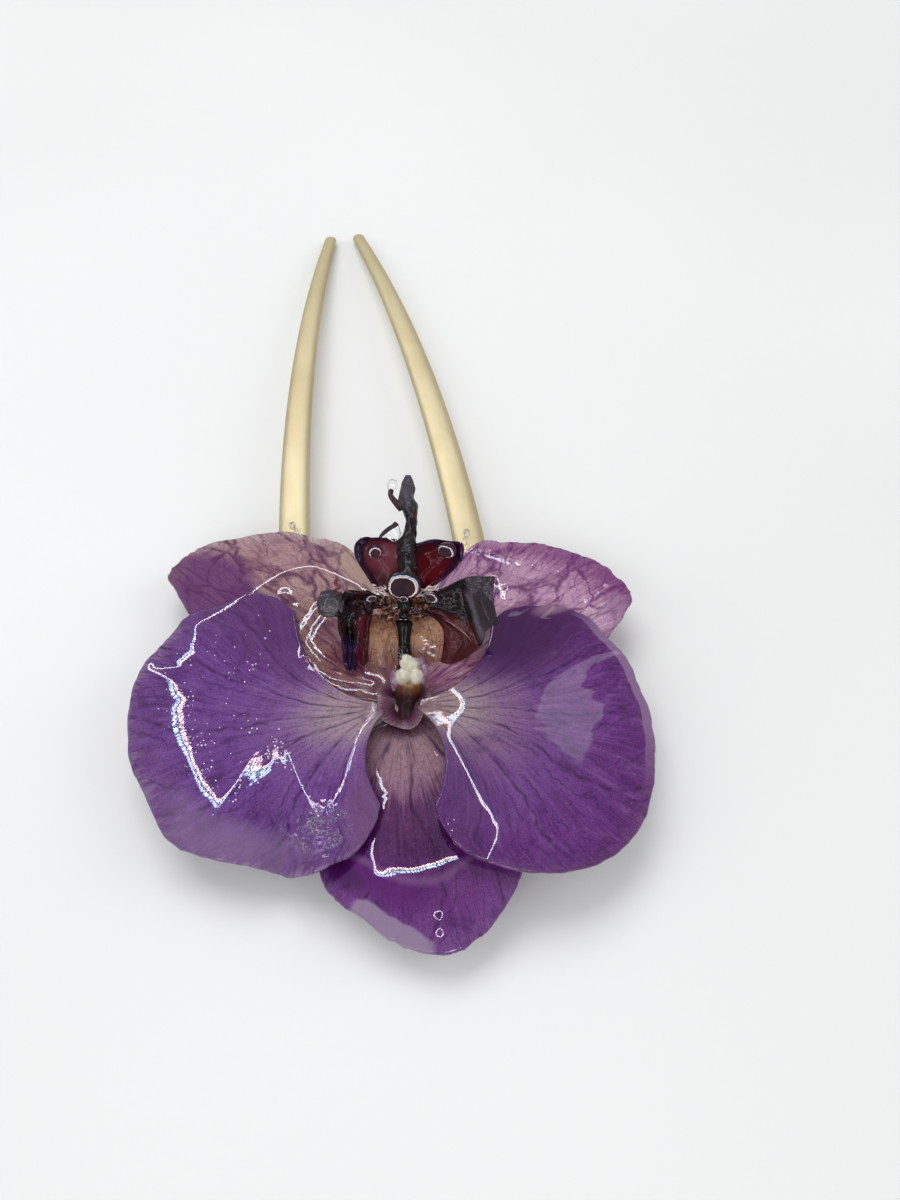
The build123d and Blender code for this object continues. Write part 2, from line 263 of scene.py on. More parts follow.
# Two rings of small lamps, which the resin mirrors as fine bright lines. The far one
# stands over the fork's tips and the near one behind the camera, facing the lip.
ring_centre, ring_radius, ring_beads = Vector((-75, 242, 449)), 139.5, 170
bead_shape = Matrix.Diagonal((6.6, 1.7, 1.5, 1.0))
for side, middle, faced, power in (("far", ring_centre, Vector((-20, 10, 10)), 42.0),
                                   ("near", Vector((-88, -337, 294)), Vector((1, 18, 16)), 34.0)):
    ring_turn = (faced - middle).to_track_quat("Z", "Y").to_matrix().to_4x4()
    for tint, radius, shift, glow in (("cool", 146, 0.0, (0.5, 0.8, 1.1)),
                                      ("warm", 133, 0.5, (1.1, 0.83, 0.74))):
        ring_finish = Finish("ring_" + side + "_" + tint, Emission_Color=glow,
                             Emission_Strength=power)
        bm = bmesh.new()
        for step in range(ring_beads):
            about = Matrix.Rotation(2 * pi * (step + shift) / ring_beads, 4, "Z")
            bead_place = about @ Matrix.Translation((radius, 0, 0)) @ bead_shape
            bmesh.ops.create_icosphere(bm, subdivisions=1, radius=1.0, matrix=bead_place)
        ring = make_piece("lamp_ring_" + side + "_" + tint, bm, ring_finish,
                          Matrix.Translation(middle) @ ring_turn)
        ring.visible_camera = False
        ring.visible_shadow = False
        ring.visible_diffuse = False

# The hair fork is one strip of metal, bent to a U and tapered to blunt tips, with soft
# edges. It is plated a pale satin gold, polished along its length, and arches a little.
fork_reach, crown_radius, strip_half = 128.0, 16.0, 2.9
tip_half, tip_out, tip_round = 1.3, 3.2, 1.3
strip_thick, tip_thick = 2.4, 1.7
crown_flat, arch_run, rise = 6.0, 123.0, 4.5


def rod(place, segments=24, cuts=40):
    # A closed rod. place(turn, along) gives each point; both run from 0 to 1.
    bm = bmesh.new()
    bmesh.ops.create_cone(bm, cap_ends=True, segments=segments, radius1=1.0, radius2=1.0,
                          depth=1.0)
    sides = [edge for edge in bm.edges
             if abs(edge.verts[0].co.z - edge.verts[1].co.z) > 0.5]
    bmesh.ops.subdivide_edges(bm, edges=sides, cuts=cuts)
    layer = bm.loops.layers.uv.new("round and along")
    for face in bm.faces:
        turns = [atan2(loop.vert.co.y, loop.vert.co.x) / (2 * pi) % 1.0 for loop in face.loops]
        seam = max(turns) - min(turns) > 0.5
        for loop, share in zip(face.loops, turns):
            loop[layer].uv = (share + (1 if seam and share < 0.5 else 0),
                              loop.vert.co.z + 0.5)
    for vert in bm.verts:
        share = atan2(vert.co.y, vert.co.x) / (2 * pi) % 1.0
        vert.co = place(share, vert.co.z + 0.5)
    return bm


def oval(share, half_width, half_height, power=1.0):
    # Point of an oval section; a power under 1 makes it squarer.
    angle = 2 * pi * share
    wide, high = cos(angle), sin(angle)
    return (half_width * abs(wide) ** power * (1 if wide > 0 else -1),
            half_height * abs(high) ** power * (1 if high > 0 else -1))


def side_curve(start, end, y):
    # The prong's edge: an arc that leaves the crown straight ahead.
    run = fork_reach - tip_round - crown_radius
    radius = ((start - end) ** 2 + run ** 2) / (2 * (start - end))
    return start - radius + sqrt(radius ** 2 - (y - crown_radius) ** 2)


def fork_point(share, along):
    quarter = crown_radius * pi / 2
    prong = fork_reach - crown_radius
    place = (quarter + prong) * -cos(pi * along)
    hand, run = (1 if place > 0 else -1), abs(place)
    taper = 1.0
    if run < quarter:
        angle = run / crown_radius
        x, y = crown_radius * sin(angle), crown_radius * (1 - cos(angle))
        out = Vector((sin(angle), -cos(angle), 0))
        half = strip_half
    else:
        y = crown_radius + run - quarter
        inside = min(y, fork_reach - tip_round)
        outer = side_curve(crown_radius + strip_half, tip_out + tip_half, inside)
        inner = side_curve(crown_radius - strip_half, tip_out - tip_half, inside)
        x, half = (outer + inner) / 2, (outer - inner) / 2
        out = Vector((1, 0, 0))
        past = max(0.0, (y - inside) / tip_round)
        taper = sqrt(max(0.01, 1 - past ** 2))
    gone = min(max((y - crown_flat) / arch_run, 0.0), 1.0)
    thick = strip_thick + (tip_thick - strip_thick) * gone
    wide, high = oval(share, half * taper, thick / 2 * (0.35 + 0.65 * taper), 0.78)
    spot = Vector((x, y, thick / 2 + 4 * rise * gone * (1 - gone) + high)) + out * wide
    return Vector((hand * spot.x, spot.y, spot.z))


gold = Finish("satin_gold", Metallic=0.55)
brushed = gold.cloud(1.0, 3.0, 0.6, 0.0, gold.stretched(gold.place, 2600, 60, 2600))
patchy = gold.cloud(90.0, 3.0, 0.6)
gold.paint(gold.tinted((0.55, 0.475, 0.285), (patchy.rising(0.25, 0.8), (0.49, 0.405, 0.225))),
           0.4 + brushed * 0.14 + patchy * 0.08, brushed + patchy * 0.5, 0.00002)
hair_fork = make_piece("hair_fork_strip", rod(fork_point, 28, 190), gold, rounding=1)
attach(hair_fork, "root")
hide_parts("hair_fork")

# Clear casting resin, poured over the flower and left to set, holds it to the fork: a
# puddle under the flower's middle, and small drops that ran out on to the prongs.
flower_place = Matrix.Translation((0, 5, 0)) @ Matrix.Rotation(radians(-9.2), 4, "Z")
pad_place = Matrix.Translation((0, 4.0, 2.55))
pad_radius = 8.0

milky = Finish("set_resin", Roughness=0.12, Coat_Weight=1.0, Coat_Roughness=0.03,
               Transmission_Weight=0.35, IOR=1.5)
milky_cloud = milky.cloud(220.0, 4.0, 0.6)
milky.paint(milky.shades(milky_cloud, [(0.3, 0.42, 0.33, 0.43), (0.7, 0.7, 0.64, 0.7)]),
            None, milky.cells(900.0).rising(0.35, 0.0) + milky_cloud, 0.00015)
bm = bmesh.new()
profile = [bm.verts.new((across, 0, high)) for across, high in (
    (0, 0), (4, 0), (7.4, 0), (7.95, 0.35), (pad_radius, 1.0), (7.8, 1.9), (7.2, 2.4), (4, 2.5),
    (0, 2.5))]
rails = [bm.edges.new(pair) for pair in zip(profile, profile[1:])]
bmesh.ops.spin(bm, geom=profile + rails, cent=(0, 0, 0), axis=(0, 0, 1), angle=2 * pi,
               steps=56, use_merge=True)
bmesh.ops.remove_doubles(bm, verts=bm.verts, dist=0.001)
for vert in bm.verts:
    angle, out = atan2(vert.co.y, vert.co.x), hypot(*vert.co.xy) / pad_radius
    vert.co.xy *= 1 - 0.035 * (1 + sin(3 * angle + 1) * sin(5 * angle)) * out
resin_pad = make_piece("resin_puddle", bm, milky, pad_place, 1)
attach(resin_pad, "root")
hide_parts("resin_pad")

clear = Finish("clear_resin", Base_Color=(0.96, 0.95, 0.96), Transmission_Weight=1.0, IOR=1.45)
clear.paint(None, 0.03 + clear.cloud(700.0) * 0.05)

# Petals and sepals of a moth orchid: real tissue, dried and coated all round with clear
# resin. Each is a fan of rays from the flower's middle. The resin's upper skin lies flat
# in pools that fall off towards their edges, with small beads and seams set into it.
Fan = namedtuple("Fan", "rays middle length root_share")
Mark = namedtuple("Mark", "bearing radius width")
Pool = namedtuple("Pool", "centre tilt rims")
hub_radius, bevel = 2.9, 0.5


def eased(value):
    value = min(1.0, max(0.0, value))
    return value * value * (3 - 2 * value)


def bumpy(x, y, z):
    return noise.noise(Vector((x, y, z)))


def through(values, share):
    # Smooth curve through evenly spaced values.
    place = min(max(share, 0.0), 1.0) * (len(values) - 1)
    index = min(int(place), len(values) - 2)
    part = place - index
    a, b = values[max(index - 1, 0)], values[index]
    c, d = values[index + 1], values[min(index + 2, len(values) - 1)]
    return (2 * b + (c - a) * part + (2 * a - 5 * b + 4 * c - d) * part ** 2
            + (3 * b - a - 3 * c + d) * part ** 3) / 2


def along_rail(points, share):
    return [through(values, share) for values in zip(*points)]


def ring_gap(spot, normal):
    # Angle between a mirrored line of sight and the nearest lamp of the ring.
    sight = (camera_spot - spot).normalized()
    ray = 2 * normal.dot(sight) * normal - sight
    middle = ring_centre - spot
    return ray.angle(middle) - atan2(ring_radius, middle.length)


def made_pool(centre, tilt, level, fall, marks, bend=0.0):
    # A pool of resin whose edge falls so that it mirrors the lamp ring in a line through
    # the marks. Each mark is the line's bearing, its radius and its width in mm; fall is
    # how steep the resin gets beyond the line. With a bend it also curls up to the crown.
    marks = [Mark(*mark) for mark in marks]
    rims = []
    for bearing in range(360):
        last = max([i for i, mark in enumerate(marks) if mark.bearing <= bearing],
                   default=len(marks) - 1)
        here, there = marks[last], marks[(last + 1) % len(marks)]
        part = ((bearing - here.bearing) % 360) / ((there.bearing - here.bearing) % 360)
        radius, width = [a + (b - a) * part for a, b in zip(here[1:], there[1:])]
        rims.append((radius, width * (1 + 0.7 * eased((width - 0.7) / 1.0))))
    rims = [[sum(rims[(bearing + step) % 360][item] for step in range(-2, 3)) / 5
             for item in range(2)] for bearing in range(360)]
    edges = []
    for bearing, (radius, width) in enumerate(rims):
        turn = (rims[(bearing + 3) % 360][0] - rims[bearing - 3][0]) / radians(6) / radius
        skew = min(4.0, sqrt(1 + turn * turn))
        angle = radians(bearing)
        out = Vector((cos(angle), sin(angle))) - Vector((-sin(angle), cos(angle))) * turn
        out.normalize()
        place = Vector((centre[0] + radius * cos(angle), centre[1] + radius * sin(angle), level))
        spot = flower_place @ place
        curled = 2 * bend * min(20.0, max(0.0, -3 - place.y))
        gaps = []
        for step in range(33):
            lean = out * step * 0.012 - Vector((tilt[0], tilt[1] - curled))
            normal = flower_place.to_3x3() @ Vector((lean.x, lean.y, 1.0)).normalized()
            gaps.append(ring_gap(spot, normal))
        steps = [i for i in range(32) if gaps[i] * gaps[i + 1] <= 0]
        slope = 0.2
        if steps:
            first = steps[0]
            slope = 0.012 * (first + gaps[first] / (gaps[first] - gaps[first + 1]))
        edges.append((radius, width, skew, slope))
    calmed = []
    for bearing in range(360):
        near = [edges[(bearing + step) % 360] for step in range(-3, 4)]
        slope = sum(edge[3] for edge in near) / 7
        calmed.append((edges[bearing][0], edges[bearing][1], sum(e[2] for e in near) / 7, slope,
                       max(0.05, fall - slope)))
    return Pool(centre, tilt, calmed)


def pool_rise(pool, x, y):
    # Height of a resin pool against its middle: level, then falling past its edge. The
    # slope grows slowly across the mirrored line, so that the line has its width.
    dx, dy = x - pool.centre[0], y - pool.centre[1]
    bearing = degrees(atan2(dy, dx)) % 360
    index, part = int(bearing) % 360, bearing % 1.0
    radius, width, skew, slope, spare = [a + (b - a) * part for a, b in
                                  zip(pool.rims[index], pool.rims[(index + 1) % 360])]
    past = (hypot(dx, dy) - radius) / skew
    steep, rate = 0.06, 0.028 / (0.72 * width)
    half = min(0.7 * width, slope / rate)
    low, high = slope - rate * half, slope + rate * 0.7 * width
    start = -half - low / steep
    lost = 0.0
    for begin, end, first, growth in ((start, -half, 0.0, steep), (-half, 0.7 * width, low, rate),
                                      (0.7 * width, 0.7 * width + spare / steep, high, steep),
                                      (0.7 * width + spare / steep, 99.0, high + spare, 0.0)):
        run = min(past, end) - begin
        if run > 0:
            lost += first * run + growth * run * run / 2
    return pool.tilt[0] * dx + pool.tilt[1] * dy - lost


def seam_rise(points, x, y, height, width, rough=0.5):
    # A low rounded ridge of resin along a line of points, broken where the resin sank.
    nearest = 1e9
    for (ax, ay), (bx, by) in zip(points, points[1:]):
        length = (bx - ax) ** 2 + (by - ay) ** 2
        part = min(1, max(0, ((x - ax) * (bx - ax) + (y - ay) * (by - ay)) / length))
        nearest = min(nearest, hypot(x - ax - part * (bx - ax), y - ay - part * (by - ay)))
    if nearest > 4 * width:
        return 0.0
    return height * (1 + rough * bumpy(x * 0.9, y * 0.9, 9.0)) * exp(-(nearest / width) ** 2)


def bead_rise(x, y, *beads):
    # Low beads of resin, each given by its place, height and radius.
    return sum(height * exp(-((x - bead_x) ** 2 + (y - bead_y) ** 2) / radius ** 2)
               for bead_x, bead_y, height, radius in beads)


def ripple(x, y, across, out, combs=44):
    # Unevenness of the resin's skin: slow swells and a faint combing along the veins.
    combed = bumpy(across * combs, out * 3.0, 7.0)
    return 0.016 * bumpy(x * 0.16, y * 0.16, 3.0) + 0.004 * combed * min(1.0, out * 2)


def sheet(name, point, finish, place, columns, rows, thickness=1.25, rim=0.45):
    # A closed sheet whose upper skin is point(across, out), both running from 0 to 1.
    bm = bmesh.new()
    bmesh.ops.create_grid(bm, x_segments=columns, y_segments=rows, size=0.5)
    layer = bm.loops.layers.uv.new("across and out")
    shares = []
    for vert in bm.verts:
        step, along = vert.co.x + 0.5, vert.co.y + 0.5
        across = step - 0.55 * sin(2 * pi * step) / (2 * pi)
        out = 1 - (1 - along) ** 1.35
        for loop in vert.link_loops:
            loop[layer].uv = (across, out)
        vert.co = point(across, out)
        near = min(1.0, 9 * min(across, 1 - across), 7 * (1 - out))
        shares.append((rim + (thickness - rim) * eased(near)) / thickness)
    bm.normal_update()
    if sum(face.normal.z * face.calc_area() for face in bm.faces) < 0:
        bmesh.ops.reverse_faces(bm, faces=bm.faces)
    piece = make_piece(name, bm, finish, place, 0, False)
    group = piece.vertex_groups.new(name="thickness")
    for index, share in enumerate(shares):
        group.add([index], share, "REPLACE")
    wall = piece.modifiers.new("Resin and tissue", "SOLIDIFY")
    wall.thickness = thickness / 1000
    wall.offset = -1.0
    wall.vertex_group = group.name
    return piece


def tepal_sheet(name, fan, top, finish, columns, rows):
    # top(x, y, across, out) is the height of a petal's or sepal's upper skin.
    span = abs(radians(fan.rays[-1][0] - fan.rays[0][0]))

    def point(across, out):
        ray, far = along_rail(fan.rays, across)
        spread = fan.root_share + (1 - fan.root_share) * min(out / 0.85, 1.0)
        bearing = radians(fan.middle + (ray - fan.middle) * spread)
        ragged = (1 + 0.01 * bumpy(across * 22, fan.middle, 1.0)
                  + 0.005 * bumpy(across * 70, fan.middle, 2.0))
        reach = hub_radius + out * (far * ragged * fan.length - hub_radius)
        x, y = reach * cos(bearing), reach * sin(bearing)
        aside = min(across, 1 - across) * span * reach
        inside = min(1.0, min(aside, (1 - out) * far * fan.length) / bevel)
        return (x, y, top(x, y, across, out) - bevel * (1 - sqrt(1 - (1 - inside) ** 2)))
    return sheet(name, point, finish, flower_place, columns, rows)


petal_length, petal_level = 42.0, 10.1
left_pool = made_pool((-20, 1.7), (0, 0.02), 10, 0.27, [
    (3, 15.6, 0.3), (6, 14, 0.3), (9, 11.1, 0.5), (15, 9.7, 0.7), (23, 8.5, 1),
    (42, 7.9, 1.8), (58, 8.1, 1.5), (65, 9.8, 0.7), (68, 12.6, 0.5), (71, 16.5, 0.4),
    (76, 24, 0.4), (100, 22, 0.4), (109, 18.9, 0.4), (120, 17.4, 0.7), (132, 17.6, 0.5),
    (142, 18, 0.4), (149, 16.3, 0.7), (159, 15.7, 1.5), (167, 16.7, 1.1), (171, 20.2, 0.7),
    (175, 18.2, 1.2), (181, 16.7, 1.9), (192, 15.3, 2.8), (206, 15.2, 2.4), (219, 15.7, 1.8),
    (228, 16.7, 1.2), (234, 17.2, 1.3), (245, 18.7, 1.7), (253, 20.1, 1.3), (257, 18.4, 2.3),
    (261, 16.2, 2.6), (267, 13.6, 2.3), (271, 11.8, 2), (278, 10.9, 1.5), (285, 11.2, 1),
    (289, 15.6, 0.6), (291, 20, 0.6), (295, 22.2, 0.9), (303, 20.6, 0.7), (309, 19.2, 0.6),
    (318, 17.3, 0.5), (328, 15.8, 0.35), (336, 15.6, 0.3), (345, 16.2, 0.3),
    (354, 15.9, 0.3)])
crown_bend = 0.0011
right_pool = made_pool((23.3, 2.9), (-0.06, -0.045), 9.8, 0.15, [
    (0, 14, 2), (32, 24, 1), (65, 24, 0.6), (84, 26, 0.5), (102, 28, 0.5),
    (114, 30, 0.5), (130, 25, 0.4), (150, 21, 0.3), (170, 19.3, 0.3), (178, 18.1, 0.4),
    (182, 16.1, 0.5), (187, 14.6, 0.7), (194, 14, 1), (200, 15, 1), (204, 17, 0.7),
    (210, 18.2, 0.6), (215, 18.3, 0.4), (222, 18.7, 0.35), (230, 19.7, 0.35), (236, 20.9, 0.35),
    (244, 22.5, 0.35), (251, 24.7, 0.4), (255, 27.6, 0.7), (262, 28, 0.6), (277, 24, 1),
    (288, 21, 1.5), (304, 18, 2), (320, 16, 2), (340, 14, 2)], crown_bend)

petal_left_fan = Fan([
    (139, 0.66), (143, 0.77), (150, 0.82), (157, 0.92), (164, 0.96), (172, 1.00), (181, 1.02),
    (192, 1.01), (204, 0.97), (214, 0.95), (224, 0.86), (235, 0.755), (246, 0.7), (253, 0.62),
    (258, 0.55), (262, 0.44)], 200.0, petal_length, 0.25)
petal_right_fan = Fan([
    (47, 0.56), (42, 0.66), (36, 0.75), (30, 0.82), (23, 0.84), (15, 0.88), (6, 0.91), (-4, 0.94),
    (-14, 0.96), (-25, 0.97), (-36, 0.94), (-47, 0.855), (-56, 0.76), (-63, 0.675), (-68, 0.595),
    (-71, 0.49)], -12.0, petal_length, 0.25)


def petal_left_top(x, y, across, out):
    wavy = 0.3 * bumpy(across * 9, 0.0, 1.0) * out ** 8 * eased((0.62 - across) / 0.12)
    froth = bumpy(x * 1.6, y * 1.6, 4.0) * 0.22 * bead_rise(x, y, (-10.3, -20.8, 1.0, 3.2))
    beads = bead_rise(x, y, (-40.6, 6.5, 0.22, 1.1), (-5.9, -17.9, 0.14, 1.0),
                      (-20.4, 18.6, 0.16, 1.3))
    height = petal_level + pool_rise(left_pool, x, y) + ripple(x, y, across, out)
    return height + wavy + froth + beads


def petal_right_top(x, y, across, out):
    height = petal_level + pool_rise(right_pool, x, y) + ripple(x, y, across, out, 10)
    curled = max(0.0, -3 - y)
    height += crown_bend * min(curled, 20.0) ** 2
    height += crown_bend * 320 * (1 - exp(-max(0.0, curled - 20) / 8))
    wavy = 0.5 * bumpy(across * 14, 0.0, 5.0) * out ** 8 * eased((0.62 - across) / 0.12)
    return height + wavy + bead_rise(x, y, (23.4, 20.0, 0.2, 1.0), (26.6, 19.4, 0.16, 0.8))


def tissue(name, zones, dark, pale, count=7.0, net=0.0):
    # Dried petal tissue under resin: colour by distance out, fibres, veins and specks.
    skin = Finish(name)
    drift = skin.cloud(75.0, 3.0, 0.6)
    clouds = skin.cloud(230.0, 5.0, 0.75)
    grain = skin.cloud(3600.0, 2.0, 0.8)
    fibre = skin.streaks(75, 3.2, 4.0, 0.7)
    hair = skin.streaks(230, 5, 2.0, 0.6)
    zone = skin.out + (fibre - 0.5) * 0.34 + (drift - 0.5) * 0.2
    sway = (skin.streaks(2.0, 2.2, 1.0) - 0.5) * 1.1
    wiggle = (skin.streaks(16, 16) - 0.5) * 0.18
    lane = skin.across * count + sway + wiggle
    spread = skin.out + 0.05
    dashes = skin.streaks(30, 12, 2.0, 0.6).rising(0.4, 0.56)
    main = (lane.fold() * spread).rising(0.045, 0.0) * (0.4 + dashes * 0.6)
    side_lane = (lane + wiggle) * 2 + 0.5 + (skin.out * 1.5).fold() * 0.5
    side = (side_lane.fold() * spread).rising(0.055, 0.0) * skin.out.rising(0.38, 0.62)
    veins = main.highest(side * (0.25 + dashes * 0.55)) * skin.out.rising(0.02, 0.12)
    rays = (hair.rising(0.54, 0.64)
            * skin.out.rising(0.62, 0.95).highest(skin.out.rising(0.42, 0.05)))
    if net:
        warp = skin.streaks(5, 5) - 0.5
        bent = skin.shifted(skin.uv, (clouds - 0.5) * 0.05 + warp * 0.1, warp * 0.35, 0.0)
        wide = skin.cells(1.0, "DISTANCE_TO_EDGE", skin.stretched(bent, 9, 4.0, 1))
        small = skin.cells(1.0, "DISTANCE_TO_EDGE", skin.stretched(bent, 24, 11, 1))
        web = wide.rising(0.085, 0.0) * (0.5 + dashes * 0.5)
        veins = veins.highest(web.highest(small.rising(0.1, 0.0) * 0.3) * net)
    dots = skin.cells(2600.0).rising(0.34, 0.14) * clouds.rising(0.46, 0.62)
    marks = (veins * 0.8).highest(rays * 0.45).highest(dots * 0.6)
    marks = marks.highest(grain.rising(0.52, 0.7) * 0.65)
    motes = skin.cells(720.0, "F1", skin.shifted(skin.place, 3, 1, 2)).rising(0.095, 0.04)
    motes = (grain.rising(0.44, 0.3) * 0.35).highest(motes * 0.7)
    skin.veins = veins
    skin.colour = skin.tinted(
        skin.shades(zone, zones), (clouds.rising(0.46, 0.7) * 0.35, pale),
        (clouds.rising(0.5, 0.3) * 0.5, dark), (fibre.rising(0.5, 0.66) * 0.38, dark),
        (fibre.rising(0.48, 0.34) * 0.3, pale), (marks, dark), (motes, pale))
    return skin


def patch(skin, at, size):
    # 1 in the middle of a soft patch at a place on the sheet, 0 outside it.
    dx = (skin.across - at[0]) / size[0]
    dy = (skin.out - at[1]) / size[1]
    return (dx * dx + dy * dy).rising(1.0, 0.0)


def glaze(skin, colour, froth=None, combs=84):
    # The resin's gloss: smooth, faintly combed across the veins, finely bubbled where it
    # frothed, and lightened there: partly pale froth, partly a painted highlight.
    relief = skin.streaks(combs, 5, 1.0) * 0.035 + skin.cells(900.0).rising(0.16, 0.05) * 0.02
    if froth is not None:
        froth_and_painted_glint = skin.cloud(1500.0, 3.0, 0.7, 2.5).rising(0.46, 0.6)
        froth_and_painted_glint = froth_and_painted_glint * skin.cloud(420.0, 3.0, 0.7).rising(0.42, 0.52) * froth
        relief = relief + froth_and_painted_glint * 1.4
        # Pale over the froth: partly the froth's own colour, partly a painted highlight.
        colour = skin.tinted(colour, (froth_and_painted_glint * 0.85, (0.62, 0.55, 0.66)))
    skin.paint(colour, 0.02 + skin.cloud(300.0) * 0.02, relief)


violet_dark = (0.028, 0.003, 0.048)
skin = tissue("petal_left_tissue", [
    (0.0, 0.09, 0.02, 0.04), (0.07, 0.38, 0.27, 0.28), (0.2, 0.36, 0.26, 0.3),
    (0.36, 0.19, 0.085, 0.25), (0.58, 0.14, 0.042, 0.235), (0.84, 0.125, 0.036, 0.22),
    (0.97, 0.14, 0.05, 0.2), (1.0, 0.24, 0.14, 0.29)], violet_dark, (0.23, 0.11, 0.31))
top_dark = patch(skin, (0.05, 0.75), (0.22, 0.5))
inner_lobe = patch(skin, (0.95, 0.78), (0.12, 0.32))
haze = patch(skin, (0.66, 0.9), (0.16, 0.14))
colour = skin.tinted(skin.colour, (top_dark * 0.55, (0.075, 0.016, 0.085)),
                     (inner_lobe * 0.5, (0.18, 0.085, 0.16)), (haze * 0.45, (0.27, 0.17, 0.3)))
glaze(skin, colour, patch(skin, (0.8, 0.78), (0.1, 0.12)))
petal_left = tepal_sheet("petal_left_sheet", petal_left_fan, petal_left_top, skin, 250, 140)
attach(petal_left, "root")
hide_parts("petal_left")

skin = tissue("petal_right_tissue", [
    (0.0, 0.09, 0.02, 0.04), (0.07, 0.34, 0.24, 0.22), (0.2, 0.36, 0.27, 0.26),
    (0.34, 0.21, 0.11, 0.21), (0.55, 0.14, 0.045, 0.215), (0.84, 0.12, 0.018, 0.18),
    (0.95, 0.1, 0.012, 0.15), (1.0, 0.14, 0.04, 0.16)], violet_dark, (0.22, 0.1, 0.27))
top_dark = patch(skin, (0.1, 0.72), (0.24, 0.45))
inner_dark = patch(skin, (0.93, 0.6), (0.2, 0.5))
lilac_rim = skin.out.rising(0.95, 0.958) * patch(skin, (0.36, 1.0), (0.22, 1.0))
clear_bite = patch(skin, (0.12, 1.0), (0.045, 0.16))
colour = skin.tinted(skin.colour, (top_dark * 0.9, (0.04, 0.001, 0.055)),
                     (inner_dark * 0.45, (0.065, 0.02, 0.095)),
                     (lilac_rim * 0.55, (0.3, 0.19, 0.32)), (clear_bite * 0.8, (0.27, 0.14, 0.22)))
glaze(skin, colour, None, 36)
petal_right = tepal_sheet("petal_right_sheet", petal_right_fan, petal_right_top, skin, 250, 140)
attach(petal_right, "root")
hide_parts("petal_right")

# The two lateral sepals lie behind the petals, towards the fork's tips. They are thinner,
# pinkish tan with a net of purple veins and a violet patch, under the same resin.
lateral_length, lateral_level = 47.0, 8.6
left_sepal_pool = made_pool((-20, 1.7), (0, 0.02), lateral_level, 0.12, [
    (0, 27, 0.5), (45, 25, 0.4), (56, 23.2, 0.35), (61, 23.5, 0.3), (67, 23.5, 0.3),
    (74, 23.9, 0.25), (82, 24.3, 0.25), (87, 23.7, 0.25), (93, 22.8, 0.25), (100, 21.2, 0.3),
    (109, 19.3, 0.4), (120, 16, 0.5), (180, 15, 0.5), (270, 15, 0.5), (330, 22, 0.5)])

sepal_left_fan = Fan([
    (102, 0.5), (111, 0.71), (117, 0.77), (124, 0.87), (132, 0.94), (140, 1.03), (145, 1.05),
    (149, 1.04), (152, 0.95), (157, 0.82), (162, 0.72), (168, 0.6)], 138.0, lateral_length, 1.25)
sepal_right_fan = Fan([
    (78, 0.48), (70, 0.72), (64, 0.76), (57, 0.82), (49, 0.875), (41, 0.925), (35, 0.94),
    (30, 0.93), (27, 0.87), (23, 0.78), (18, 0.69), (12, 0.58)], 42.0, lateral_length, 1.25)


def sepal_left_top(x, y, across, out):
    seam = [(-14.4, 17.0), (-15.5, 14.9), (-16.3, 13.0), (-16.8, 10.9), (-16.2, 9.6),
            (-14.4, 7.8), (-12.4, 5.8), (-10.9, 5.0), (-9.2, 4.3), (-6.8, 4.2), (-4.9, 3.7)]
    crescents = bead_rise(x, y, (-20.6, 19.6, 0.22, 1.4), (-18.9, 17.4, 0.16, 0.9))
    height = lateral_level + pool_rise(left_sepal_pool, x, y) + ripple(x, y, across, out, 24)
    return height + seam_rise(seam, x, y, 0.28, 1.4, 0.1) + crescents


def sepal_right_top(x, y, across, out):
    height = lateral_level - 0.035 * (x - 12) + 0.0024 * max(0.0, 14 - x) ** 2
    height += ripple(x, y, across, out, 24)
    film = [(9.1, 30.8), (13.8, 29.9), (18.1, 28.1), (25.8, 26.3), (34.2, 23.8), (30.6, 20.8)]
    curl = [(15.2, 24.4), (17.2, 22.6), (16.6, 19.8), (14.6, 18.6)]
    glitter = seam_rise(film, x, y, 0.2, 0.8) * (1 + 0.5 * bumpy(x * 2.3, y * 2.3, 2.0))
    return height + glitter + seam_rise(curl, x, y, 0.16, 1.0)


plum = (0.085, 0.014, 0.065)
skin = tissue("sepal_left_tissue", [
    (0.0, 0.16, 0.05, 0.04), (0.3, 0.23, 0.1, 0.075), (0.62, 0.4, 0.25, 0.23),
    (0.85, 0.38, 0.21, 0.23), (0.97, 0.42, 0.26, 0.29), (1.0, 0.52, 0.4, 0.4)],
    plum, (0.46, 0.31, 0.28), 5.0, 1.0)
violet = patch(skin, (0.66, 0.8), (0.3, 0.34)).rising(0.0, 0.6)
beak = patch(skin, (0.6, 1.0), (0.12, 0.1))
tan = patch(skin, (0.06, 0.65), (0.14, 0.6))
glaze(skin, skin.tinted(skin.colour, (tan * 0.6, (0.46, 0.33, 0.25)),
                        (violet * 0.8, (0.085, 0.003, 0.125)), (beak * 0.6, (0.17, 0.08, 0.12)),
                        (skin.veins * 0.5, plum)))
sepal_left = tepal_sheet("sepal_left_sheet", sepal_left_fan, sepal_left_top, skin, 200, 130)
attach(sepal_left, "root")
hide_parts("sepal_left")

plum = (0.11, 0.01, 0.11)
skin = tissue("sepal_right_tissue", [
    (0.0, 0.22, 0.09, 0.08), (0.25, 0.42, 0.19, 0.22), (0.5, 0.58, 0.32, 0.46),
    (0.82, 0.5, 0.28, 0.42), (0.95, 0.3, 0.1, 0.25), (1.0, 0.44, 0.28, 0.4)],
    plum, (0.6, 0.4, 0.5), 5.0, 1.0)
tip = patch(skin, (0.5, 1.0), (0.34, 0.16))
glaze(skin, skin.tinted(skin.colour, (tip * 0.6, (0.14, 0.02, 0.14)), (skin.veins * 0.45, plum)))
sepal_right = tepal_sheet("sepal_right_sheet", sepal_right_fan, sepal_right_top, skin, 200, 130)
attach(sepal_right, "root")
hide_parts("sepal_right")

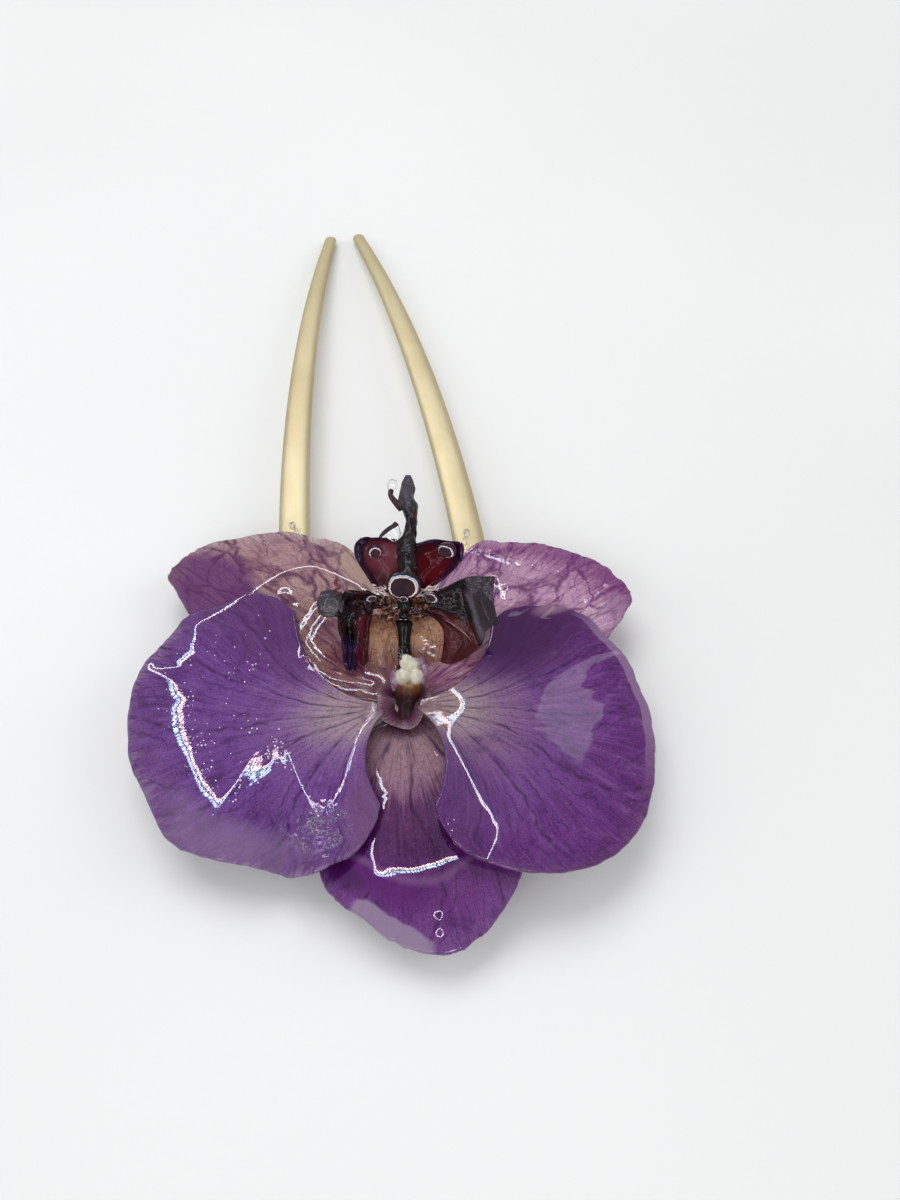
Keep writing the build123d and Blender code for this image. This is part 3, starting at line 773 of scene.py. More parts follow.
# The dorsal sepal points at the fork's crown: tan at the flower's middle, then purple
# with long veins, folded across, and bent down over the edge in a tongue of vivid violet.
dorsal_length, dorsal_level, dorsal_tip_level = 37.0, 7.3, 1.35
dorsal_pool = made_pool((5, -13.3), (0.06, -0.05), dorsal_level, 0.22, [
    (20, 16, 0.5), (60, 14, 0.5), (100, 13.5, 0.4), (128, 14, 0.3), (138, 13.2, 0.3),
    (145, 11.3, 0.3), (156, 9.5, 0.4), (169, 7.9, 0.6), (187, 7, 1), (200, 7.5, 0.6),
    (215, 9.5, 0.5), (228, 12.6, 0.6), (232, 13.3, 0.6), (238, 14.4, 1), (252, 13, 1.1),
    (272, 11.5, 1.1), (287, 11, 1.1), (299, 11.3, 0.7), (320, 14, 0.5), (350, 16, 0.5)])

sepal_dorsal_fan = Fan([
    (240, 0.64), (249, 0.78), (256, 0.84), (263, 0.88), (270, 0.95), (277, 1.00), (284, 1.02),
    (291, 0.99), (298, 0.935), (304, 0.88), (311, 0.8), (318, 0.66)], 279.0, dorsal_length, 1.9)


def sepal_dorsal_top(x, y, across, out):
    height = dorsal_level + pool_rise(dorsal_pool, x, y) + ripple(x, y, across, out, 12)
    ribs = 0.05 * sin(across * 26 + 2 * sin(out * 7)) * eased((out - 0.7) / 0.1)
    seam = [(-1.5, -0.4), (-0.2, -1.6), (1.7, -2.2), (3.7, -4.4), (4.9, -6.9), (6.2, -9.6)]
    height = max(height + ribs * eased((1 - out) / 0.2), dorsal_tip_level)
    return height + seam_rise(seam, x, y, 0.09, 1.3) + bead_rise(x, y, (7.2, -33.0, 0.5, 1.5))


skin = tissue("sepal_dorsal_tissue", [
    (0.0, 0.1, 0.02, 0.05), (0.08, 0.38, 0.23, 0.25), (0.26, 0.34, 0.18, 0.24),
    (0.38, 0.1, 0.02, 0.1), (0.62, 0.06, 0.006, 0.08), (0.7, 0.1, 0.008, 0.13),
    (0.9, 0.15, 0.03, 0.21), (1.0, 0.18, 0.06, 0.24)],
    (0.02, 0.001, 0.032), (0.19, 0.07, 0.22), 4.0)
overflow = patch(skin, (0.36, 0.985), (0.18, 0.11)) * 1.6
overflow = (overflow + skin.cloud(260.0, 3.0, 0.7) - 0.75).rising(0.1, 0.6)
shaded = patch(skin, (0.14, 0.86), (0.16, 0.1))
vivid = patch(skin, (0.3, 0.78), (0.3, 0.12))
# A pale line across the fold is a painted highlight: the lamps' reflection along the fold, laid
# into the colour.
painted_fold_highlight = (skin.out - 0.765 + skin.across * 0.1).size().rising(0.035, 0.0)
colour = skin.tinted(skin.colour, (vivid * 0.7, (0.085, 0.003, 0.125)),
                     (overflow * 0.75, (0.3, 0.22, 0.33)), (shaded * 0.8, (0.045, 0.002, 0.07)),
                     (painted_fold_highlight * 0.35, (0.26, 0.13, 0.29)))
glaze(skin, colour, None, 16)
sepal_dorsal = tepal_sheet("sepal_dorsal_sheet", sepal_dorsal_fan, sepal_dorsal_top, skin,
                           180, 140)
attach(sepal_dorsal, "root")
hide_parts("sepal_dorsal")

# In the flower's middle the five roots run together in a shallow dish round the column's
# foot, magenta inside and tan outside, with short dark lines like spokes.
hub = Finish("hub_tissue", Roughness=0.35)
hub_cloud = hub.cloud(1500.0, 3.0, 0.7)
spokes = (hub.across * 46 + (hub.streaks(9, 3) - 0.5) * 5).fold().rising(0.3, 0.0)
hub_colour = hub.shades(hub.out + (hub_cloud - 0.5) * 0.2, [
    (0.0, 0.03, 0.003, 0.01), (0.3, 0.09, 0.01, 0.05), (0.5, 0.13, 0.045, 0.08),
    (0.75, 0.22, 0.12, 0.14), (1.0, 0.34, 0.23, 0.25)])
hub.paint(hub.tinted(hub_colour, (spokes * 0.8, (0.03, 0.003, 0.018))), None, hub_cloud)


def hub_point(turn, along):
    # Up the outside from the column to the rim, and back below.
    upper = min(1.0, along * 1.25)
    under = eased((along - 0.8) / 0.2)
    angle = 2 * pi * turn
    wide = (1.5 + 2.8 * upper - 2.2 * under) * (1 + 0.06 * sin(5 * angle + 1))
    level = 8.9 + 1.05 * abs(cos(angle)) ** 1.5 - 1.1 * max(0.0, sin(angle)) ** 2
    level += 0.35 * eased(upper) - 0.7 * under - 1.4 * max(0.0, -sin(angle)) ** 2
    return Vector((0.3 + wide * cos(angle), 0.5 + wide * sin(angle), level))


hub_dish = make_piece("flower_middle", rod(hub_point, 60, 18), hub, flower_place)
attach(hub_dish, "root")

# The column stands in the flower's middle and leans over the lip: a stubby club of dried
# tissue, amber brown and striped under its resin, with lilac cheeks round its cap.
column_place = (flower_place @ Matrix.Translation((0.6, -0.6, 5.2))
                @ Matrix.Rotation(radians(5.0), 4, "Y") @ Matrix.Rotation(radians(-26.0), 4, "X"))


def column_point(share, along):
    radius = through([2.1, 2.35, 2.3, 2.2, 2.15, 2.15, 2.25, 2.15, 1.8, 0.3], along)
    angle = 2 * pi * share
    flute = 1 + 0.04 * sin(9 * angle) - 0.12 * max(0.0, sin(angle)) * eased(along * 1.4)
    height = 8.4 * min(1.0, along * 1.12) + 0.25 * max(0.0, along - 0.89)
    return Vector((radius * flute * cos(angle), radius * flute * sin(angle), height))


amber = Finish("column_amber", Coat_Weight=0.35, Coat_Roughness=0.03, Specular_IOR_Level=0.2)
stripes = amber.streaks(34, 1.2, 3.0, 0.6)
amber_colour = amber.shades(amber.out + (stripes - 0.5) * 0.12, [
    (0.0, 0.04, 0.003, 0.015), (0.3, 0.035, 0.004, 0.008), (0.46, 0.014, 0.002, 0.001),
    (0.66, 0.04, 0.007, 0.002), (0.8, 0.15, 0.045, 0.008), (0.92, 0.4, 0.24, 0.1),
    (1.0, 0.6, 0.5, 0.35)])
stripe_share = stripes.rising(0.5, 0.62) * 0.7
amber.paint(amber.tinted(amber_colour, (stripe_share, (0.01, 0.001, 0.001))), None, stripes,
            0.00012)
column = make_piece("column_club", rod(column_point, 40, 30), amber, column_place, 1)
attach(column, "root")
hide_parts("column")


def lump(bm, spot, radii, seed=0, rough=0.08, level=3, twist=None, square=1.0):
    # An egg-shaped lump with a slightly uneven skin, added to a mesh; square under 1 makes
    # it boxier.
    made = bmesh.ops.create_icosphere(bm, subdivisions=level, radius=1.0)
    for vert in made["verts"]:
        swell = 1 + rough * noise.noise(vert.co * 2.2 + Vector((seed * 3.1, 0, seed)))
        egg = Vector([copysign(abs(value) ** square, value) * radius * swell
                      for value, radius in zip(vert.co, radii)])
        vert.co = (twist @ egg if twist else egg) + Vector(spot)


def gathered(name, finish, place, add, *shapes):
    # One piece of several forms, which add() puts into its mesh one by one.
    bm = bmesh.new()
    for shape in shapes:
        add(bm, *shape)
    return make_piece(name, bm, finish, place)


cheek = mottled("column_cheeks", 900.0, [(0.3, 0.16, 0.05, 0.14), (0.7, 0.4, 0.25, 0.38)],
                3.0, 0.5, 0.0001, Coat_Weight=1.0, Coat_Roughness=0.03, Roughness=0.3)
cheeks = gathered("column_cheek_lobes", cheek, column_place, lump,
                  ((-2.1, -0.1, 7.5), (0.85, 1.3, 1.8), 1, 0.3),
                  ((2.0, 0.8, 8.4), (0.95, 1.6, 1.8), 2, 0.3),
                  ((0.9, 2.1, 9.2), (1.5, 0.9, 1.2), 3, 0.3))
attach(cheeks, "root")

# The anther cap sits on the column's end: three waxy cream lobes, two in front and one
# behind, with a yellow groove between them.
cream = Finish("anther_cream", Coat_Weight=1.0, Coat_Roughness=0.04, Roughness=0.4)
cream_cloud = cream.cloud(700.0, 4.0, 0.6)
cream_colour = cream.shades(cream_cloud, [(0.3, 0.44, 0.37, 0.24), (0.6, 0.66, 0.62, 0.5)])
cap_scale = cream.stretched(cream.place, 1000, 1000, 1000)
cap_groove = (cream.part(cap_scale, 0) - 2.05).size().rising(0.5, 0.15)
cap_groove = cap_groove * cream.part(cap_scale, 2).rising(13.3, 12.5) * 0.9
cream.paint(cream.tinted(cream_colour, (cap_groove, (0.3, 0.17, 0.01))), None, cream_cloud,
            0.00015)
anther = gathered("anther_lobes", cream, column_place, lump,
                  ((-1.0, -0.9, 8.9), (1.2, 1.1, 1.55), 4, 0.2),
                  ((0.95, -0.75, 8.9), (1.15, 1.1, 1.5), 5, 0.2),
                  ((-0.1, 0.6, 10.0), (1.65, 1.45, 1.3), 6, 0.35),
                  ((-0.6, 1.1, 10.7), (0.95, 0.85, 0.75), 8, 0.4))
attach(anther, "root")
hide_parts("anther_cap")

# The lip rises from the column's foot towards the fork's tips. Its claw is a black
# glossy wedge between two speckled tan flaps, and at its end sits the callus.
lip_rise, lip_ahead, lip_level = radians(38.0), 4.316, 7.8
lip_place = (flower_place @ Matrix.Translation((0, lip_ahead, lip_level))
             @ Matrix.Rotation(lip_rise, 4, "X"))
claw_length, callus_start = 10.3, 10.45


def black_gloss(name, dark, warm, speck=0.5, shine=0.3):
    # Dried lip tissue: nearly black and glossy, dark red where light comes through it.
    skin = Finish(name, Specular_IOR_Level=shine)
    drift = skin.cloud(260.0, 4.0, 0.6)
    skin.grit = skin.cells(2600.0).rising(0.26, 0.1) * skin.cloud(500.0).rising(0.5, 0.62)
    skin.colour = skin.tinted(dark, (drift.rising(0.45, 0.75), warm),
                              (skin.grit * speck, (0.3, 0.24, 0.26)))
    return skin, drift


def ribbon(first, second, lift, finish, name, columns=40, rows=40, thickness=0.9, rim=0.5):
    # A lip sheet between two rails of points; lift(across, out) moves it from straight.
    def point(across, out):
        start, end = Vector(along_rail(first, out)), Vector(along_rail(second, out))
        return start + (end - start) * across + Vector(lift(across, out))
    return sheet(name, point, finish, lip_place, columns, rows, thickness, rim)


def claw_point(share, along):
    half = through([0.35, 0.7, 0.95, 1.05, 0.95, 1.1, 1.6], along)
    depth = 0.75 * min(1.0, 12 * along + 0.3, 12 * (1 - along) + 0.3)
    wide, high = oval(share, half, depth, 0.85)
    return Vector((wide + 0.1, claw_length * along, high))


skin, drift = black_gloss("lip_black", (0.004, 0.001, 0.002), (0.018, 0.002, 0.003), 0.2, 0.2)
flakes = skin.cells(1500.0, "DISTANCE_TO_EDGE").rising(0.07, 0.02)
flakes = flakes * skin.out.rising(0.28, 0.4) * skin.out.rising(0.72, 0.55)
colour = skin.tinted(skin.colour, (flakes * drift.rising(0.4, 0.55), (0.5, 0.46, 0.46)))
skin.paint(colour, 0.1 + drift * 0.1, drift + flakes * 0.6, 0.0002)
lip_claw = make_piece("lip_claw_wedge", rod(claw_point, 20, 24), skin, lip_place, 1)
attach(lip_claw, "root")
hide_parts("lip_claw")


def speckled(name, top, middle, foot, speck_colour):
    # Thin tissue at the lip's sides, stained at the top, with rusty specks under its resin.
    skin = Finish(name, Specular_IOR_Level=0.15)
    drift = skin.cloud(330.0, 5.0, 0.7)
    stains = skin.streaks(18, 2, 3.0, 0.7)
    specks = skin.cells(2700.0).rising(0.42, 0.2) * skin.cloud(700.0, 3.0).rising(0.4, 0.54)
    blots = skin.cells(1000.0).rising(0.26, 0.12) * drift.rising(0.45, 0.6)
    zone = skin.out + (drift - 0.5) * 0.7 + (stains - 0.5) * 0.4
    zones = skin.shades(zone, [(0.18, *top), (0.42, *middle), (0.9, *foot)])
    colour = skin.tinted(zones, (stains.rising(0.48, 0.64) * 0.65, top),
                         (specks.highest(blots) * 0.75, speck_colour))
    skin.paint(colour, 0.06 + drift * 0.08, drift, 0.0003)
    return skin


rusty = speckled("lip_tan", (0.14, 0.038, 0.018), (0.43, 0.235, 0.135), (0.37, 0.19, 0.165),
                 (0.05, 0.008, 0.006))
russet = speckled("lip_russet", (0.03, 0.003, 0.004), (0.075, 0.01, 0.012),
                  (0.11, 0.025, 0.03), (0.02, 0.001, 0.003))


def flap_lift(across, out):
    crumple = bumpy(across * 2.1, out * 2.6, 3.0)
    fine = bumpy(across * 5.0, out * 4.0, 6.0)
    return (0.3 * fine, 0, 0.45 * sin(pi * across) + 0.5 * crumple + 0.2 * fine)


for name, finish, first, second in (
        ("lip_flap_left", rusty,
         [(-5.5, 11.0, 0.2), (-5.8, 8.6, -0.3), (-5.9, 5.4, -0.9), (-6.2, 1.8, -1.9)],
         [(-0.9, 11.0, -0.1), (-0.6, 8.4, -0.3), (-0.3, 5.2, -0.6), (-0.2, 1.2, -1.4)]),
        ("lip_flap_right", rusty,
         [(0.7, 11.2, -0.1), (0.6, 8.4, -0.3), (0.5, 5.2, -0.6), (0.4, 1.8, -1.4)],
         [(3.2, 11.6, 0.3), (5.6, 10.0, 0.3), (6.4, 7.4, 0.0), (5.6, 2.6, -1.5)]),
        ("lip_web_right", russet,
         [(3.0, 11.8, 0.1), (5.2, 10.2, 0.0), (6.0, 7.6, -0.4), (5.2, 2.8, -1.7)],
         [(5.0, 11.4, 0.2), (8.8, 9.6, 0.2), (12.2, 6.9, 0.0), (9.2, 3.6, -1.6)]),
        ("lip_web_left", russet,
         [(-6.8, 11.8, 0.4), (-7.0, 8.8, 0.2), (-7.0, 5.8, -0.1), (-6.8, 1.8, -1.4)],
         [(-4.9, 11.8, 0.4), (-5.4, 8.8, 0.0), (-5.6, 5.6, -0.6), (-5.8, 1.6, -1.9)])):
    flap = ribbon(first, second, flap_lift, finish, name, 40, 50, 0.5, 0.3)
    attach(flap, "root")

wart = mottled("callus_brown", 1300.0, [
    (0.34, 0.008, 0.001, 0.002), (0.48, 0.06, 0.008, 0.003), (0.6, 0.26, 0.075, 0.012),
    (0.72, 0.44, 0.2, 0.06)], 4.0, 0.65, 0.0004, Roughness=0.35, Coat_Weight=1.0,
    Coat_Roughness=0.05)
random.seed(7)
warts = [((-0.1, callus_start + 1.9, 0.1), (3.0, 1.9, 1.0), 7, 0.2)]
for hand in (-1, 1):
    for step in range(75):
        spot = (hand * random.uniform(0.9, 3.9) + 0.1,
                callus_start + random.uniform(-0.1, 3.6), random.uniform(0.5, 1.3))
        size = random.uniform(0.16, 0.42)
        warts.append((spot, (size, size * random.uniform(0.5, 1.2), size), step, 0.7, 2))
callus = gathered("lip_callus_warts", wart, lip_place, lump, *warts)
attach(callus, "root")
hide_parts("lip_callus")

skin, drift = black_gloss("callus_black", (0.004, 0.002, 0.003), (0.014, 0.003, 0.004), 0.3)
skin.paint(skin.colour, 0.05 + drift * 0.04, drift)
knob = gathered("lip_callus_knob", skin, lip_place, lump,
                ((0.2, callus_start + 2.3, 1.3), (1.1, 1.25, 0.8), 9, 0.3),
                ((0.1, callus_start + 0.7, 1.0), (0.8, 0.75, 0.55), 10, 0.3))
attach(knob, "root")

# The side lobes stand out from the callus like arms. The right one opens into a hatchet
# with a raised fold; the left one curls over to a rounded end and folds down to a point.


def side_left_lift(across, out):
    folds = 0.42 * sin(across * 8 + 3.0 * out) * eased(out * 3) * eased((1 - out) * 6)
    uneven = bumpy(across * 3.0, out * 9, 2.0)
    return (0.35 * uneven, 0.25 * uneven, folds + 0.45 * uneven)


skin, drift = black_gloss("side_lobe_left", (0.006, 0.001, 0.002), (0.04, 0.004, 0.008), 0.6,
                          0.2)
violet_end = (skin.out + (drift - 0.5) * 0.3).rising(0.66, 0.8)
red_edge = (skin.across + (drift - 0.5) * 0.5).rising(0.66, 0.86) * skin.out.rising(0.38, 0.48)
colour = skin.tinted(skin.colour, (violet_end * 0.8, (0.022, 0.006, 0.04)),
                     (red_edge * 0.8, (0.12, 0.006, 0.022)))
skin.paint(colour, 0.06 + drift * 0.1, drift + skin.grit * 0.4, 0.0004)
side_left = ribbon(
    [(-2.6, 13.8, 0.6), (-4.6, 14.4, 0.9), (-6.8, 14.9, 1.3), (-9.0, 14.9, 1.8),
     (-10.0, 13.2, 2.0), (-10.1, 10.6, 2.1), (-9.8, 8.8, 2.0), (-9.3, 6.6, 1.8),
     (-9.0, 4.2, 1.4), (-8.3, 2.2, 1.0)],
    [(-2.7, 12.0, 0.4), (-3.8, 12.1, 0.6), (-4.7, 12.0, 0.8), (-5.3, 11.4, 1.0),
     (-5.7, 10.4, 1.1), (-6.1, 9.2, 1.2), (-6.4, 7.8, 1.2), (-6.6, 6.2, 1.1),
     (-6.8, 4.2, 1.0), (-7.5, 2.1, 0.8)],
    side_left_lift, skin, "side_lobe_left_arm", 50, 110)
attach(side_left, "root")
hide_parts("lip_side_lobe_left")

# The rounded end is painted grey: partly the tissue's own grey, partly a painted sheen.
skin, drift = black_gloss("side_lobe_left_end", (0.055, 0.046, 0.054), (0.115, 0.1, 0.115),
                          0.2)
edge = skin.cloud(330.0).rising(0.42, 0.6)
colour = skin.tinted(skin.colour, (edge * 0.6, (0.035, 0.022, 0.034)))
skin.paint(colour, 0.12 + drift * 0.12, drift, 0.00025)
rounded_end = gathered("side_lobe_left_end", skin, lip_place, lump,
                       ((-11.5, 12.8, 1.9), (2.05, 2.1, 0.7), 11, 0.22, 4, None, 0.72))
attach(rounded_end, "root")


def side_right_lift(across, out):
    crest = 0.58 + 0.22 * across
    ridge = 0.55 * exp(-((out - crest) / 0.07) ** 2) * eased(across * 2.5)
    groove = -0.45 * exp(-((out - crest - 0.13) / 0.06) ** 2) * eased(across * 1.6)
    hollow = -0.4 * sin(pi * across) * eased(out * 2) * eased((1 - out) * 2)
    uneven = 0.3 * bumpy(across * 3, out * 5, 8.0)
    return (-0.4 * sin(pi * across) * out ** 6, 0, ridge + groove + hollow + uneven)


skin, drift = black_gloss("side_lobe_right", (0.007, 0.002, 0.003), (0.034, 0.006, 0.009), 0.7,
                          0.16)
mixed = skin.out - skin.across * 0.22 + (drift - 0.5) * 0.12
# The blade's far part is painted with a grey sheen.
painted_sheen = mixed.rising(0.5, 0.6)
# A pale band along the raised fold's crest is a painted highlight.
crest = (mixed - 0.545).size().rising(0.07, 0.0) * skin.across.rising(0.15, 0.35)
red_low = (skin.across + (drift - 0.5) * 0.4).rising(0.55, 0.95) * skin.out.rising(0.75, 0.6)
pink_edge = skin.across.rising(0.955, 0.985) * skin.out.rising(0.62, 0.5)
colour = skin.tinted(skin.colour, (painted_sheen * (0.25 + drift * 0.8), (0.055, 0.04, 0.055)),
                     (crest * (drift * 1.2), (0.16, 0.15, 0.17)),
                     (red_low * 0.85, (0.07, 0.005, 0.008)),
                     (pink_edge * 0.85, (0.3, 0.13, 0.15)))
skin.paint(colour, 0.07 + drift * 0.12, drift + skin.grit * 0.4, 0.0004)
side_right = ribbon(
    [(2.4, 14.3, 0.6), (5.0, 15.1, 0.9), (6.9, 15.8, 1.1), (8.8, 16.9, 1.4),
     (10.4, 17.5, 1.7), (12.2, 17.6, 1.8), (14.2, 17.6, 1.8)],
    [(2.7, 11.7, 0.4), (5.2, 11.0, 0.4), (7.6, 9.8, 0.6), (9.9, 8.1, 0.8),
     (11.8, 6.2, 0.9), (12.9, 9.0, 1.3), (14.8, 9.9, 1.5)],
    side_right_lift, skin, "side_lobe_right_blade", 80, 110)
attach(side_right, "root")
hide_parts("lip_side_lobe_right")

# The mid lobe is a wine-red shield beyond the callus, a shallow cup on each side of the
# keel with its corners rolled up, dark violet at the rims and red where light gets in.


def mid_lift(across, out):
    cups = -0.6 * sin(2 * pi * across) ** 2 * eased(out * 2.2) * eased((1 - out) * 5)
    rolled = 0.5 * (eased((0.1 - across) / 0.1) + eased((across - 0.9) / 0.1)) * out
    notch = -0.5 * exp(-((across - 0.56) / 0.1) ** 2) + 0.25 * sin(across * 11) * out
    return (0, notch * out ** 3, cups + rolled + 0.25 * bumpy(across * 5, out * 5, 12.0))


skin, drift = black_gloss("mid_lobe_wine", (0.026, 0.001, 0.004), (0.06, 0.002, 0.009), 0.15,
                          0.08)
bright = patch(skin, (0.76, 0.48), (0.24, 0.5))
mauve = patch(skin, (0.26, 0.62), (0.26, 0.45))
rims = (skin.out + (drift - 0.5) * 0.1).rising(0.86, 0.98)
rims = rims.highest((skin.across + (drift - 0.5) * 0.12).rising(0.13, 0.03))
rims = rims.highest(skin.across.rising(0.9, 0.98)).highest(skin.out.rising(0.22, 0.06))
colour = skin.tinted(skin.colour, (bright * 0.8, (0.105, 0.001, 0.005)),
                     (mauve * 0.75, (0.23, 0.052, 0.078)), (rims * 0.85, (0.014, 0.002, 0.024)))
skin.paint(colour, 0.1 + drift * 0.08, drift, 0.0002)
mid_lobe = ribbon(
    [(-3.2, 13.8, 0.2), (-5.0, 15.7, 0.5), (-6.4, 17.8, 0.9), (-7.5, 19.8, 1.2),
     (-7.9, 21.2, 1.4), (-7.6, 22.4, 1.5), (-6.5, 23.1, 1.5)],
    [(3.2, 13.9, 0.2), (5.1, 16.0, 0.5), (6.7, 17.4, 0.8), (8.1, 18.9, 1.1),
     (9.0, 20.5, 1.3), (9.3, 21.8, 1.4), (8.6, 22.8, 1.5)],
    mid_lift, skin, "mid_lobe_shield", 110, 80)
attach(mid_lobe, "root")
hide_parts("lip_mid_lobe")

skin, drift = black_gloss("mid_lobe_rolls", (0.01, 0.003, 0.02), (0.06, 0.012, 0.085), 0.1)
skin.paint(skin.colour, 0.12 + drift * 0.1, drift, 0.0002)
rolls = gathered("mid_lobe_rolled_corners", skin, lip_place, lump,
                 ((-7.15, 20.9, 1.5), (0.55, 1.55, 0.45), 21, 0.5),
                 ((-6.6, 22.6, 1.6), (0.75, 0.5, 0.4), 22, 0.5),
                 ((8.85, 21.3, 1.5), (0.4, 1.45, 0.35), 23, 0.4))
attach(rolls, "root")

# A keel runs up the middle of the mid lobe and past it to a swollen blunt end, black and
# pitted. Two thin tendrils grow from it: one hooked, one broken off and held in resin.
keel_start, keel_length, keel_rise = 16.4, 16.7, 1.9


def keel_point(share, along):
    half = through([1.3, 1.35, 1.42, 1.45, 1.3, 0.95, 0.92, 1.4, 1.22, 1.02, 0.45], along)
    centre = through([0.5, 0.55, 0.45, 0.3, 0.5, 0.9, 1.0, 0.6, 0.25, 0.35, 0.45], along)
    angle = 2 * pi * share
    rough = 1 + 0.3 * bumpy(cos(angle) * 1.4, along * 16, sin(angle) * 1.4)
    wide, high = oval(share, half * rough, 0.95 * min(1.0, half) * rough)
    return Vector((centre + wide, keel_start + keel_length * along,
                   keel_rise + high + 0.3 * along))


skin, drift = black_gloss("keel_black", (0.004, 0.002, 0.003), (0.022, 0.012, 0.016), 0.7)
grey = skin.cloud(1500.0, 3.0, 0.7).rising(0.42, 0.66)
grey = grey.highest(drift * 0.8) * skin.out.rising(0.62, 0.76)
ember = patch(skin, (0.1, 0.63), (0.22, 0.045))
colour = skin.tinted(skin.colour, (grey * 0.85, (0.12, 0.098, 0.12)),
                     (ember * 0.7, (0.08, 0.004, 0.008)))
skin.paint(colour, 0.12 + drift * 0.2 + grey * 0.15, drift + grey * 0.4, 0.0004)
keel = make_piece("lip_tip_keel", rod(keel_point, 32, 90), skin, lip_place, 1)
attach(keel, "root")
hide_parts("lip_tip")


def thread_piece(name, finish, *points):
    # A thin rod through a few points, each given by its place and the rod's radius there.
    def spot(share, along):
        before, here, after = [along_rail(points, along + step) for step in (-0.02, 0, 0.02)]
        run = (Vector(after[:3]) - Vector(before[:3])).normalized()
        side = run.cross(Vector((0, 0, 1))).normalized()
        wide, high = oval(share, 1.0, 1.0)
        end = min(1.0, 0.25 + 9 * along, 0.25 + 9 * (1 - along))
        return Vector(here[:3]) + (side * wide + run.cross(side) * high) * here[3] * end
    return make_piece(name, rod(spot, 12, 20), finish, lip_place, 1)


skin, drift = black_gloss("tendril", (0.02, 0.008, 0.011), (0.07, 0.02, 0.024), 0.5)
skin.paint(skin.colour, 0.15 + drift * 0.2, drift, 0.0002)
hook = thread_piece("lip_tendril_hook", skin, (-0.2, 27.9, 2.0, 0.95), (-1.1, 28.5, 2.0, 0.62),
                    (-1.8, 29.2, 2.0, 0.48), (-2.3, 30.0, 2.0, 0.42), (-2.1, 30.9, 2.0, 0.5))
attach(hook, "root")
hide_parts("lip_tendril")

stub = thread_piece("lip_tendril_broken", skin, (-1.2, 25.7, 2.0, 0.55), (-1.7, 25.2, 2.0, 0.38),
                    (-2.5, 24.7, 2.0, 0.36), (-3.3, 24.0, 2.0, 0.32), (-4.0, 23.2, 2.0, 0.2))
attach(stub, "root")
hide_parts("lip_tendril_stub")

curl_red = mottled("red_curl", 1500.0, [(0.3, 0.05, 0.003, 0.006), (0.7, 0.16, 0.01, 0.02)],
                   Roughness=0.2)
curl = thread_piece("lip_red_curl", curl_red, (-9.8, 14.2, 2.6, 0.3), (-10.6, 15.0, 3.0, 0.26),
                    (-9.9, 15.6, 3.2, 0.28), (-10.6, 16.2, 3.2, 0.3), (-10.2, 16.9, 3.2, 0.22))
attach(curl, "root")

fleck = mottled("pale_flecks", 1700.0, [(0.3, 0.3, 0.14, 0.16), (0.6, 0.72, 0.58, 0.55)],
                Roughness=0.3, Coat_Weight=1.0, Coat_Roughness=0.05)
random.seed(11)
flecks = []
for hand in (-1, 1):
    for step in range(26):
        x = hand * random.uniform(2.0, 4.8)
        y = 14.0 + abs(x) * 0.3 + random.uniform(-0.6, 0.6)
        lean = Matrix.Rotation(random.uniform(-0.5, 0.9) * hand, 3, "Z")
        flecks.append(((x, y, 1.1 + random.uniform(0, 0.5)),
                       (random.uniform(0.35, 0.8), 0.12, 0.12), step, 0.4, 2, lean))
fleck_piece = gathered("lip_pale_flecks", fleck, lip_place, lump, *flecks)
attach(fleck_piece, "root")

# Resin levelled in the lip's hollows as low round pools and short runs. Those on the dark
# tissue take its colour, and each mirrors the near lamps in a small loop.
lens_turn = Matrix.Rotation(radians(4.0), 3, "X")


def lens(bm, spot, wide, long, seed=0, turn=0.0, square=1.0):
    # A low drop of resin on the lip, tipped to mirror the near lamps in a small loop. Its
    # skin steepens slowly where the loop lies, at 0.84 of the way out.
    twist = lens_turn @ Matrix.Rotation(radians(turn), 3, "Z")
    made = bmesh.ops.create_uvsphere(bm, u_segments=56, v_segments=44, radius=1.0)
    for vert in made["verts"]:
        share = 1 - asin(min(1.0, abs(vert.co.z))) / (pi / 2)
        around = atan2(vert.co.y, vert.co.x) / (2 * pi)
        x, y = oval(around, wide, long, square)
        uneven = 1 + 0.07 * noise.noise(Vector((x, y, seed * 3.0)))
        size = hypot(x, y) * uneven
        high = -0.147 * size * share ** 1.6 / (0.84 ** 0.6 * 1.6)
        high -= 0.25 * size * max(0.0, (share - 0.9) / 0.1) ** 2
        if vert.co.z < 0:
            high = -0.5 * size + 0.1 * size * share
        vert.co = twist @ Vector((x * share * uneven, y * share * uneven, high)) + Vector(spot)


dark_wine = mottled("lip_dark_pools", 600.0, [
    (0.35, 0.01, 0.002, 0.004), (0.7, 0.04, 0.006, 0.014)], 3.0, Roughness=0.03)
dark_pools = gathered(
    "lip_dark_pools", dark_wine, lip_place, lens, ((0.0, 15.9, 2.9), 2.8, 2.26, 1, 0, 0.85),
    ((-5.0, 13.8, 2.6), 0.95, 0.5, 4, 15), ((4.4, 14.1, 2.6), 1.2, 0.8, 5, -20),
    ((0.1, 13.9, 3.1), 0.78, 0.48, 6))
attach(dark_pools, "root")

red_wine = mottled("lip_wine_pools", 600.0, [
    (0.35, 0.026, 0.003, 0.01), (0.7, 0.07, 0.008, 0.022)], 3.0, Roughness=0.03)
wine_pools = gathered(
    "lip_wine_pools", red_wine, lip_place, lens, ((-4.6, 21.1, 2.2), 1.13, 1.13, 2),
    ((6.6, 21.5, 2.4), 1.5, 1.25, 3, 0, 0.75))
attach(wine_pools, "root")

runs = gathered(
    "resin_runs", clear, lip_place, lens, ((3.2, 7.4, 1.25), 0.8, 0.28, 3.2, -38),
    ((4.3, 6.4, 1.25), 1.2, 0.28, 4.3, -18), ((3.1, 5.8, 1.1), 0.6, 0.28, 3.1, 25),
    ((4.4, 5.0, 1.0), 1.0, 0.28, 4.4, -25))
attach(runs, "root")
